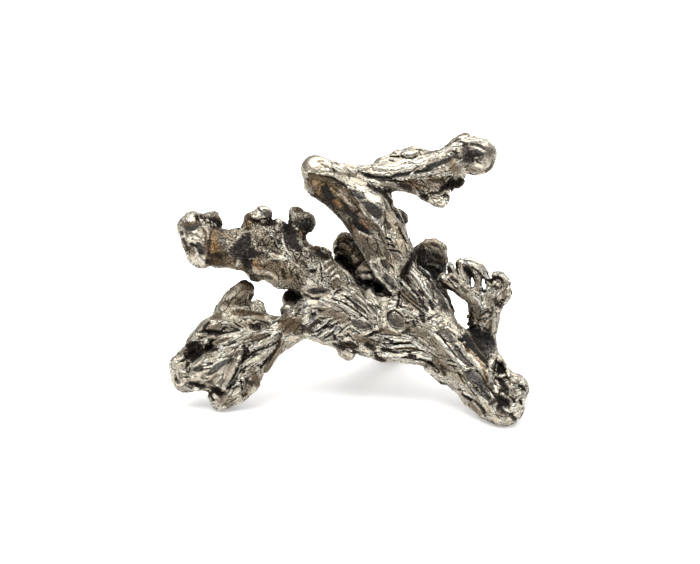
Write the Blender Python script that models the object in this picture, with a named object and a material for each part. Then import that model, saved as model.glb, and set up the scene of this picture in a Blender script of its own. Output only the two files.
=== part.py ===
"""Native silver: a hand-sized sprig of branching metal, grown from one hub.

Metres, +Z up. The origin is at the bottom centre of the object's box, on the
plane that the three feet rest on. +X runs along the longest extent, -Y is the
front.

The sprig is one growth. It is divided at its main forks, so each branch is a
solid of its own with a hairline gap where it leaves the branch it grew from.
Every branch is a bundle of tapering rods with round ends, which is how the
stubby crystals have grown together. The rods are listed on a front sheet:
u to the right and v down, in units of 1 / UNIT mm, d the depth towards the
front and r the radius at that point. The sheet leans back by LEAN degrees and
is drawn in perspective, from EYE units in front of it.
"""

import math

import bmesh
import bpy
from mathutils import Matrix, Vector

# Driving dimensions.
UNIT = 7.8            # sheet units to the millimetre
EYE = 3500.0          # distance of the sheet's viewpoint, in sheet units
LEAN = 22.0           # degrees that the sheet leans back
SHEET_U = 350.0       # the sheet's middle
SHEET_V = 282.0
HEIGHT_OF_MIDDLE = 14.75  # mm, the sheet's middle above the floor
CENTRE_X = -0.184     # mm, middle of the object's box, moved to the origin
CENTRE_Y = -0.50
GAP = 0.3             # mm between a branch and the one that it grew from
GRAIN = 0.5           # mm, size of the cells that merge a branch's rods
ROUNDING = 3          # smoothing passes where rods meet

# Each branch: its triangle budget, its colour, roughness, and its rods.
SILVER = (0.62, 0.59, 0.54)
TARNISHED = (0.42, 0.39, 0.35)
STAINED = (0.45, 0.38, 0.29)

HUB = [
    [(314, 314, 6, 20), (335, 318, 8, 25), (362, 320, 6, 27), (395, 323, 4, 27), (424, 326, 6, 24)],
    [(352, 300, 10, 15), (330, 298, 10, 12)],
    [(318, 326, 8, 16), (342, 331, 8, 17), (364, 338, 8, 16), (380, 344, 10, 16)],
    [(385, 348, 8, 13), (405, 349, 12, 12), (424, 353, 14, 12)],
    [(347, 340, 8, 13), (347, 351, 10, 9)],
    [(408, 272, 10, 8), (422, 288, 14, 11), (434, 306, 14, 12), (445, 324, 12, 12)],
    [(405, 305, 8, 16), (425, 312, 8, 16)],
    [(312, 306, -14, 12), (292, 299, -24, 9)],
    [(312, 314, 0, 14), (290, 311, -2, 9)],
    [(340, 314, -22, 18), (380, 316, -24, 20), (415, 320, -18, 18)],
    [(312, 292, 10, 9), (326, 291, 12, 8)],
]

MAST = [
    [(399, 304, 6, 12), (394, 287, 10, 11), (389, 265, 12, 17), (383, 240, 12, 23),
     (365, 213, 12, 22), (347, 194, 12, 18), (330, 181, 13, 14)],
    [(330, 181, 13, 14), (316, 170.5, 14, 15)],
    [(316, 184, 12, 12), (324, 193, 10, 10)],
    [(352, 192, 20, 10), (373, 208, 24, 13), (391, 235, 24, 12), (400, 258, 16, 9)],
    [(320, 186, 18, 11), (340, 203, 20, 10), (363, 230, 20, 9), (380, 262, 16, 8)],
    [(378, 262, -2, 9), (367, 273, -10, 10)],
    [(398, 234, 0, 9), (401, 250, 2, 11), (404, 266, 4, 12)],
    [(382, 188, -4, 10), (385, 199, -8, 6.5), (391, 211, -10, 7), (401.5, 218.5, -10, 6.5)],
    [(344, 185, 10, 12), (372, 188, 6, 12)],
    [(380, 198, 6, 8), (388, 211, 6, 9), (397, 227, 6, 8)],
]

TOP_ARM = [
    [(325, 171, 12, 12), (350, 175, 8, 9), (366, 177, 2, 11), (388, 176, -4, 15),
     (412, 174, -4, 17), (435, 167, 0, 13.5), (457, 157, 4, 15), (466, 150, 6, 15.5),
     (478, 156, 6, 18.5)],
    [(382, 167, -10, 9), (400, 160, -12, 9), (415, 156, -12, 8.5), (429, 158.5, -10, 8)],
    [(412, 182, -2, 10), (428, 190, 0, 9.5), (437, 194, 0, 11), (440, 199, 2, 8)],
    [(446, 180, -6, 10), (456, 180, -8, 8)],
    [(456, 168, 0, 10), (462, 169, 0, 8)],
]

LEFT_BRANCH = [
    [(338, 287, 4, 18), (312, 273, -2, 23), (288, 261, -4, 26), (262, 252, -2, 24),
     (238, 249, 2, 19), (220, 248, 4, 18), (205, 245, 6, 16)],
    [(193.5, 228, 6, 16), (197, 241, 8, 14.5), (201, 255, 6, 14)],
    [(203, 226, 2, 11), (210.5, 223, -4, 11.5)],
    [(262, 236, -4, 12), (257, 222, -4, 10), (263, 214, -2, 9)],
    [(250, 226, 0, 8), (250, 220, 0, 6.5)],
    [(295, 245, -8, 11), (297, 228, -10, 9), (304, 223, -10, 11)],
    [(298, 224, -9, 8), (295.5, 213, -8, 7)],
    [(276, 240, -2, 12), (277, 229, -4, 10)],
    [(313, 262, -8, 10), (319, 254, -10, 8.5)],
    [(318, 262, -8, 8), (325, 257, -8, 7)],
    [(256, 265, 2, 10), (255, 274, 0, 7.5)],
    [(282, 275, -2, 11), (281, 281, -4, 7)],
]

LOWER_LEFT_FROND = [
    [(306, 321, 8, 16), (286, 330, 10, 14), (266, 342, 12, 14)],
    [(276, 325, 4, 8), (250, 322, 2, 12), (228, 320, 0, 14), (212, 333, 2, 14), (202, 345, 4, 14)],
    [(230, 311, -2, 14), (236, 301, -4, 12), (244, 291, -6, 10)],
    [(258, 318, 0, 9), (256.5, 307.5, 0, 7.5)],
    [(238, 345, 16, 9), (222, 358, 20, 13), (206, 368, 20, 12), (197, 372, 18, 8)],
    [(217, 343, 14, 6), (230, 339, 13, 8), (246, 337, 10, 9), (262, 334, 8, 8)],
    [(238, 352, 18, 8), (230, 372, 20, 9), (222, 382, 20, 8)],
    [(184, 366, 8, 14), (187, 376, 8, 15.5)],
    [(202, 345, 4, 14), (190, 358, 2, 12)],
    [(195, 378, 12, 11), (209, 384, 12, 7)],
    [(222, 397, 10, 13), (236, 389, 10, 13), (246, 380, 12, 14), (250, 372, 12, 10)],
    [(296, 332, 8, 8), (275, 348, 8, 8), (262, 361, 10, 8), (254, 372, 10, 8)],
    [(275, 338, 12, 10), (258, 350, 14, 12), (245, 362, 12, 11)],
    [(262, 345, -2, 14), (230, 350, -4, 18), (205, 362, -4, 15)],
]

RIGHT_LEG = [
    [(432, 328, 12, 22), (452, 350, 18, 22), (478, 384, 30, 20), (498, 401, 40, 20)],
    [(498, 401, 40, 20), (503, 404, 42, 21.5)],
    [(470, 396, 26, 9), (488, 408, 36, 12)],
    [(503, 400, 40, 15), (514, 389, 36, 15)],
    [(494, 364, 26, 8), (502, 380, 34, 12)],
    [(430, 368, 14, 5), (445, 374, 18, 8), (460, 384, 22, 9)],
    [(456, 336, -8, 9), (470, 342, -8, 11), (482, 354, -2, 14), (492, 372, 14, 16)],
]

RIGHT_FROND = [
    [(483, 347, -8, 13.5), (483, 325, -8, 13), (482, 308, -8, 13), (480, 298, -8, 13)],
    [(478, 298, -8, 9), (464, 291, -4, 7), (450, 283, 0, 6), (444, 278, 2, 5)],
    [(472, 293, -8, 7), (461, 280, -6, 5), (451, 267, -4, 4.5)],
    [(461, 282, -6, 6), (451, 274, -4, 4.5)],
    [(474, 290, -10, 6), (466, 275, -10, 6), (462, 265, -10, 5.5)],
    [(462, 265, -10, 5.5), (470, 264, -10, 4.5), (478, 268, -10, 4.5), (483, 274, -10, 4)],
    [(478, 292, -8, 6), (478, 280, -8, 5), (475, 271, -8, 4)],
    [(487, 292, -8, 6), (488, 281, -8, 4), (485, 274, -10, 3.5)],
    [(490, 299, -8, 9), (499, 292, -6, 10), (501, 284, -6, 8.5), (499, 278, -6, 5), (495, 276, -6, 3.5)],
    [(502, 295, -10, 8), (495, 306, -12, 7), (490, 325, -14, 6), (487, 345, -12, 8)],
]

REAR_KNOB = [
    [(430, 256, -32, 16.5), (431, 270, -30, 14.5), (436, 286, -22, 9), (440.5, 301, -14, 8.5),
     (446, 313, -10, 8.5)],
    [(420, 262, -34, 13), (424, 274, -32, 13)],
]

REAR_SPUR = [
    [(375, 300, -28, 18), (362, 277, -34, 14), (354, 253, -38, 13), (346, 243, -38, 10.5)],
    [(352, 258, -38, 10), (341, 249, -38, 8.5)],
    [(356, 272, -32, 12), (344, 262, -30, 10)],
]

REAR_LEG = [
    [(378, 314, -26, 20), (384, 322, -60, 17), (390, 335, -90, 14), (394, 343.5, -112, 16.5)],
    [(386, 330, -85, 11), (404, 322, -98, 9)],
    [(380, 320, -62, 11), (360, 314, -76, 8)],
]

# Oldest growth first: each branch is cut back where it meets an older one.
BRANCHES = [
    ("hub", HUB, 1150, SILVER, 0.38),
    ("mast", MAST, 900, STAINED, 0.42),
    ("top_arm", TOP_ARM, 700, SILVER, 0.34),
    ("left_branch", LEFT_BRANCH, 1100, TARNISHED, 0.45),
    ("lower_left_frond", LOWER_LEFT_FROND, 1050, SILVER, 0.34),
    ("right_leg", RIGHT_LEG, 800, SILVER, 0.38),
    ("right_frond", RIGHT_FROND, 850, TARNISHED, 0.40),
    ("rear_leg", REAR_LEG, 420, TARNISHED, 0.42),
    ("rear_knob", REAR_KNOB, 300, TARNISHED, 0.40),
    ("rear_spur", REAR_SPUR, 300, STAINED, 0.45),
]

MM = 0.001


def place(u, v, d):
    """A point of the sheet, in the object's frame, in millimetres."""
    k = (1.0 - d / EYE) / UNIT
    across = (u - SHEET_U) * k
    up = (SHEET_V - v) * k
    out = d / UNIT
    s, c = math.sin(math.radians(LEAN)), math.cos(math.radians(LEAN))
    return Vector((
        across - CENTRE_X,
        up * s - out * c - CENTRE_Y,
        up * c + out * s + HEIGHT_OF_MIDDLE,
    ))


def radius(d, r):
    return r * (1.0 - d / EYE) / UNIT


def add_rod(bm, a, b, ra, rb):
    """A tapering rod with round ends: the hull of a ball at each end."""
    rod = bmesh.new()
    for centre, size in ((a, ra), (b, rb)):
        bmesh.ops.create_icosphere(
            rod, subdivisions=3, radius=size * MM,
            matrix=Matrix.Translation(centre * MM),
        )
    hull = bmesh.ops.convex_hull(rod, input=rod.verts[:], use_existing_faces=False)
    spare = {g for g in hull["geom_interior"] + hull["geom_unused"] if isinstance(g, bmesh.types.BMVert)}
    bmesh.ops.delete(rod, geom=list(spare), context="VERTS")
    bmesh.ops.recalc_face_normals(rod, faces=rod.faces[:])
    mesh = bpy.data.meshes.new("rod")
    rod.to_mesh(mesh)
    rod.free()
    bm.from_mesh(mesh)
    bpy.data.meshes.remove(mesh)


def evaluated(obj):
    """The object's mesh with its modifiers applied, as a new mesh."""
    graph = bpy.context.evaluated_depsgraph_get()
    return bpy.data.meshes.new_from_object(obj.evaluated_get(graph), depsgraph=graph)


def settle(obj):
    """Keeps the result of the object's modifiers as its own mesh."""
    mesh = evaluated(obj)
    old = obj.data
    obj.modifiers.clear()
    obj.data = mesh
    bpy.data.meshes.remove(old)


def largest_body(obj):
    """Leaves only the biggest connected body of a mesh."""
    bm = bmesh.new()
    bm.from_mesh(obj.data)
    bm.verts.ensure_lookup_table()
    seen, bodies = set(), []
    for start in bm.verts:
        if start.index in seen:
            continue
        stack, body = [start], []
        seen.add(start.index)
        while stack:
            vert = stack.pop()
            body.append(vert)
            for edge in vert.link_edges:
                other = edge.other_vert(vert)
                if other.index not in seen:
                    seen.add(other.index)
                    stack.append(other)
        bodies.append(body)
    bodies.sort(key=len, reverse=True)
    for body in bodies[1:]:
        bmesh.ops.delete(bm, geom=body, context="VERTS")
    bm.to_mesh(obj.data)
    bm.free()


def cut_feet(obj):
    """Grinds off what would reach below the floor, and closes the flat."""
    bm = bmesh.new()
    bm.from_mesh(obj.data)
    if min(v.co.z for v in bm.verts) < 0.0:
        bmesh.ops.bisect_plane(
            bm, geom=bm.verts[:] + bm.edges[:] + bm.faces[:],
            plane_co=(0, 0, 0), plane_no=(0, 0, -1), clear_outer=True, dist=1e-8,
        )
        rim = [e for e in bm.edges if e.is_boundary]
        bmesh.ops.holes_fill(bm, edges=rim, sides=0)
    bmesh.ops.triangulate(bm, faces=bm.faces[:])
    bm.to_mesh(obj.data)
    bm.free()


def make_material(name, colour, roughness):
    material = bpy.data.materials.new(name)
    material.use_nodes = True
    shader = material.node_tree.nodes["Principled BSDF"]
    shader.inputs["Base Color"].default_value = (*colour, 1.0)
    shader.inputs["Metallic"].default_value = 1.0
    shader.inputs["Roughness"].default_value = roughness
    return material


def make_branch(name, rods, triangles):
    """One branch: its rods merged, rounded where they meet, and faceted."""
    bm = bmesh.new()
    for rod in rods:
        points = [place(u, v, d) for u, v, d, r in rod]
        sizes = [radius(d, r) for u, v, d, r in rod]
        for i in range(len(rod) - 1):
            add_rod(bm, points[i], points[i + 1], sizes[i], sizes[i + 1])
    mesh = bpy.data.meshes.new(name)
    bm.to_mesh(mesh)
    bm.free()
    obj = bpy.data.objects.new(name, mesh)
    bpy.context.scene.collection.objects.link(obj)

    merge = obj.modifiers.new("merge rods", "REMESH")
    merge.mode = "VOXEL"
    merge.voxel_size = GRAIN * MM
    soften = obj.modifiers.new("round the creases", "SMOOTH")
    soften.factor = 0.5
    soften.iterations = ROUNDING
    settle(obj)

    largest_body(obj)
    facets = obj.modifiers.new("facets", "DECIMATE")
    facets.ratio = triangles / sum(len(p.vertices) - 2 for p in obj.data.polygons)
    facets.use_collapse_triangulate = True
    settle(obj)
    return obj


def make_socket(obj):
    """The branch swollen by the gap, to cut the younger ones back with."""
    socket = bpy.data.objects.new(obj.name + " socket", obj.data.copy())
    bpy.context.scene.collection.objects.link(socket)
    bm = bmesh.new()
    bm.from_mesh(socket.data)
    bm.normal_update()
    swell = {v: v.normal * (GAP * MM) for v in bm.verts}
    for v, move in swell.items():
        v.co += move
    bm.to_mesh(socket.data)
    bm.free()
    socket.hide_render = True
    socket.display_type = "WIRE"
    return socket


def main():
    for obj in list(bpy.data.objects):
        bpy.data.objects.remove(obj, do_unlink=True)

    older = []
    for name, rods, triangles, colour, roughness in BRANCHES:
        branch = make_branch(name, rods, triangles)
        own_socket = make_socket(branch)
        for socket in older:
            cut = branch.modifiers.new("fork", "BOOLEAN")
            cut.operation = "DIFFERENCE"
            cut.solver = "EXACT"
            cut.object = socket
            cut.use_self = True
        settle(branch)
        largest_body(branch)
        cut_feet(branch)
        older.append(own_socket)
        branch.data.name = name
        branch.data.materials.clear()
        branch.data.materials.append(make_material(name, colour, roughness))
        branch.data.shade_flat()

    for socket in older:
        bpy.data.objects.remove(socket, do_unlink=True)


main()
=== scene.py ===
"""Native silver sprig: the fine surface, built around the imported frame.

Each branch of the frame is replaced by a closed, finely carved mesh of the same
branch. The coarse form is the frame's own: the same tapering rods, listed on the
same front sheet (u right, v down, d towards the front, r the radius, in units of
1 / UNIT mm), merged as a distance field. Lumps and hollows are then carved into
that field, and ridges, blades, grooves, facets and pits are raised on the surface.
Lengths are millimetres until a mesh is made.
"""

import math

import bpy
import numpy as np
import openvdb as vdb
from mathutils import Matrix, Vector


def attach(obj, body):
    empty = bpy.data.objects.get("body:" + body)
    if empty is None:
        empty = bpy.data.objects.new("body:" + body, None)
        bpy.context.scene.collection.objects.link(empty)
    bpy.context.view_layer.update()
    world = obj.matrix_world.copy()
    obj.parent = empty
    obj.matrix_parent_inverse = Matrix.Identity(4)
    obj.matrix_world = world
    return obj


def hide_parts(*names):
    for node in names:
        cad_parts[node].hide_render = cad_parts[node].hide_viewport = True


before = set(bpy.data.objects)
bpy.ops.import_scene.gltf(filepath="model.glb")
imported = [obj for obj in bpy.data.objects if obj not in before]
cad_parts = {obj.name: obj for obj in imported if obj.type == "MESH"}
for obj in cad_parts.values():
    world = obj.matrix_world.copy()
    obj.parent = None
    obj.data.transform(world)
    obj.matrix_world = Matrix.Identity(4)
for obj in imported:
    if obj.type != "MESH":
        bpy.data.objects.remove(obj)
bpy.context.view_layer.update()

# ---------------------------------------------------------------- the layout sheet
UNIT = 7.8
EYE = 3500.0
LEAN = math.radians(22.0)
SHEET_U, SHEET_V = 350.0, 282.0
CENTRE_X, CENTRE_Y, MIDDLE_Z = -0.184, -0.50, 14.75
CELL = 0.110          # mm, the distance field's cell
BLEND = 0.55          # mm, how softly rods run into each other
MM = 0.001

SIN, COS = math.sin(LEAN), math.cos(LEAN)
RIGHT = np.array([1.0, 0.0, 0.0])
UP = np.array([0.0, SIN, COS])
FRONT = np.array([0.0, -COS, SIN])
MIDDLE = np.array([-CENTRE_X, -CENTRE_Y, MIDDLE_Z])


def place(u, v, d):
    """Sheet units to the object's frame, in millimetres."""
    k = (1.0 - d / EYE) / UNIT
    return MIDDLE + RIGHT * ((u - SHEET_U) * k) + UP * ((SHEET_V - v) * k) + FRONT * (d / UNIT)


def radius(d, r):
    return r * (1.0 - d / EYE) / UNIT


def sheet(points):
    """The object's frame to sheet units: u, v and d of each point."""
    rel = points - MIDDLE
    d = rel @ FRONT * UNIT
    k = (1.0 - d / EYE) / UNIT
    return SHEET_U + rel @ RIGHT / k, SHEET_V - rel @ UP / k, d


def smooth(low, high, x):
    t = np.clip((x - low) / (high - low), 0.0, 1.0)
    return t * t * (3.0 - 2.0 * t)


# ---------------------------------------------------------------- branches
BRANCHES = {
    "hub": [
        [(314, 314, 6, 20), (335, 318, 8, 25), (362, 320, 6, 27), (395, 323, 4, 27), (424, 326, 6, 24)],
        [(352, 300, 10, 15), (330, 298, 10, 12)],
        [(318, 326, 8, 16), (342, 331, 8, 17), (364, 338, 8, 16), (380, 344, 10, 16)],
        [(385, 348, 8, 13), (405, 349, 12, 12), (424, 353, 14, 12)],
        [(347, 340, 8, 13), (347, 351, 10, 9)],
        [(408, 272, 10, 8), (422, 288, 14, 11), (434, 306, 14, 12), (445, 324, 12, 12)],
        [(405, 305, 8, 16), (425, 312, 8, 16)],
        [(312, 306, -14, 12), (292, 299, -24, 9)],
        [(312, 314, 0, 14), (290, 311, -2, 9)],
        [(340, 314, -22, 18), (380, 316, -24, 20), (415, 320, -18, 18)],
        [(312, 292, 10, 9), (326, 291, 12, 8)],
    ],
    "mast": [
        [(399, 304, 6, 12), (394, 287, 10, 11), (389, 265, 12, 17), (383, 240, 12, 23),
         (365, 213, 12, 22), (347, 194, 12, 18), (330, 181, 13, 14)],
        [(330, 181, 13, 14), (316, 170.5, 14, 15)],
        [(316, 184, 12, 12), (324, 193, 10, 10)],
        [(352, 192, 20, 10), (373, 208, 24, 13), (391, 235, 24, 12), (400, 258, 16, 9)],
        [(320, 186, 18, 11), (340, 203, 20, 10), (363, 230, 20, 9), (380, 262, 16, 8)],
        [(378, 262, -2, 9), (367, 273, -10, 10)],
        [(398, 234, 0, 9), (401, 250, 2, 11), (404, 266, 4, 12)],
        [(382, 188, -4, 10), (385, 199, -8, 6.5), (391, 211, -10, 7), (401.5, 218.5, -10, 6.5)],
        [(344, 185, 10, 12), (372, 188, 6, 12)],
        [(380, 198, 6, 8), (388, 211, 6, 9), (397, 227, 6, 8)],
    ],
    "top_arm": [
        [(325, 171, 12, 12), (350, 175, 8, 9), (366, 177, 2, 11), (388, 176, -4, 15),
         (412, 174, -4, 17), (435, 167, 0, 13.5), (457, 157, 4, 15), (466, 150, 6, 15.5),
         (478, 156, 6, 18.5)],
        [(382, 167, -10, 9), (400, 160, -12, 9), (415, 156, -12, 8.5), (429, 158.5, -10, 8)],
        [(412, 182, -2, 10), (428, 190, 0, 9.5), (437, 194, 0, 11), (440, 199, 2, 8)],
        [(446, 180, -6, 10), (456, 180, -8, 8)],
        [(456, 168, 0, 10), (462, 169, 0, 8)],
    ],
    "left_branch": [
        [(338, 287, 4, 18), (312, 273, -2, 23), (288, 261, -4, 26), (262, 252, -2, 24),
         (238, 249, 2, 19), (220, 248, 4, 18), (205, 245, 6, 16)],
        [(193.5, 228, 6, 16), (197, 241, 8, 14.5), (201, 255, 6, 14)],
        [(203, 226, 2, 11), (210.5, 223, -4, 11.5)],
        [(262, 236, -4, 12), (257, 222, -4, 10), (263, 214, -2, 9)],
        [(250, 226, 0, 8), (250, 220, 0, 6.5)],
        [(295, 245, -8, 11), (297, 228, -10, 9), (304, 223, -10, 11)],
        [(298, 224, -9, 8), (295.5, 213, -8, 7)],
        [(276, 240, -2, 12), (277, 229, -4, 10)],
        [(313, 262, -8, 10), (319, 254, -10, 8.5)],
        [(318, 262, -8, 8), (325, 257, -8, 7)],
        [(256, 265, 2, 10), (255, 274, 0, 7.5)],
        [(282, 275, -2, 11), (281, 281, -4, 7)],
    ],
    "lower_left_frond": [
        [(306, 321, 8, 16), (286, 330, 10, 14), (266, 342, 12, 14)],
        [(276, 325, 4, 8), (250, 322, 2, 12), (228, 320, 0, 14), (212, 333, 2, 14), (202, 345, 4, 14)],
        [(230, 311, -2, 14), (236, 301, -4, 12), (244, 291, -6, 10)],
        [(258, 318, 0, 9), (256.5, 307.5, 0, 7.5)],
        [(238, 345, 16, 9), (222, 358, 20, 13), (206, 368, 20, 12), (197, 372, 18, 8)],
        [(217, 343, 14, 6), (230, 339, 13, 8), (246, 337, 10, 9), (262, 334, 8, 8)],
        [(238, 352, 18, 8), (230, 372, 20, 9), (222, 382, 20, 8)],
        [(184, 366, 8, 14), (187, 376, 8, 15.5)],
        [(202, 345, 4, 14), (190, 358, 2, 12)],
        [(195, 378, 12, 11), (209, 384, 12, 7)],
        [(222, 397, 10, 13), (236, 389, 10, 13), (246, 380, 12, 14), (250, 372, 12, 10)],
        [(296, 332, 8, 8), (275, 348, 8, 8), (262, 361, 10, 8), (254, 372, 10, 8)],
        [(275, 338, 12, 10), (258, 350, 14, 12), (245, 362, 12, 11)],
        [(262, 345, -2, 14), (230, 350, -4, 18), (205, 362, -4, 15)],
    ],
    "right_leg": [
        [(432, 328, 12, 22), (452, 350, 18, 22), (478, 384, 30, 20), (498, 401, 40, 20)],
        [(498, 401, 40, 20), (503, 404, 42, 21.5)],
        [(470, 396, 26, 9), (488, 408, 36, 12)],
        [(503, 400, 40, 15), (514, 389, 36, 15)],
        [(494, 364, 26, 8), (502, 380, 34, 12)],
        [(430, 368, 14, 5), (445, 374, 18, 8), (460, 384, 22, 9)],
        [(456, 336, -8, 9), (470, 342, -8, 11), (482, 354, -2, 14), (492, 372, 14, 16)],
    ],
    "right_frond": [
        [(483, 347, -8, 13.5), (483, 325, -8, 13), (482, 308, -8, 13), (480, 298, -8, 13)],
        [(478, 298, -8, 9), (464, 291, -4, 7), (450, 283, 0, 6), (444, 278, 2, 5)],
        [(472, 293, -8, 7), (461, 280, -6, 5), (451, 267, -4, 4.5)],
        [(461, 282, -6, 6), (453, 275, -4, 4)],
        [(468, 293, -10, 6.5), (464.5, 278, -10, 5), (461.5, 265.5, -10, 5)],
        [(462, 265, -10, 5.5), (470, 264, -10, 4.5), (478, 268, -10, 4.5), (483, 274, -10, 4)],
        [(478, 292, -8, 5), (477.5, 281, -8, 3.6), (475, 271, -8, 3.8)],
        [(488.5, 292, -8, 4), (489, 282, -8, 2.6), (486, 274, -10, 2.6)],
        [(490, 299, -8, 9), (499, 292, -6, 10), (501, 284, -6, 8.5), (499, 278, -6, 5), (495, 276, -6, 3.5)],
        [(502, 295, -10, 8), (495, 306, -12, 7), (490, 325, -14, 6), (487, 345, -12, 8)],
    ],
    "rear_leg": [
        [(378, 314, -26, 20), (384, 322, -60, 17), (390, 335, -90, 14), (394, 343.5, -112, 16.5)],
        [(386, 330, -85, 11), (404, 322, -98, 9)],
        [(380, 320, -62, 11), (360, 314, -76, 8)],
    ],
    "rear_knob": [
        [(430, 256, -32, 16.5), (431, 270, -30, 14.5), (436, 286, -22, 9), (440.5, 301, -14, 8.5),
         (446, 313, -10, 8.5)],
        [(420, 262, -34, 13), (424, 274, -32, 13)],
    ],
    "rear_spur": [
        [(375, 300, -28, 18), (362, 277, -34, 14), (354, 253, -38, 13), (346, 243, -38, 10.5)],
        [(352, 258, -38, 10), (341, 249, -38, 8.5)],
        [(356, 272, -32, 12), (344, 262, -30, 10)],
    ],
}
OLDEST_FIRST = [
    "hub", "mast", "top_arm", "left_branch", "lower_left_frond",
    "right_leg", "right_frond", "rear_leg", "rear_knob", "rear_spur",
]

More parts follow.
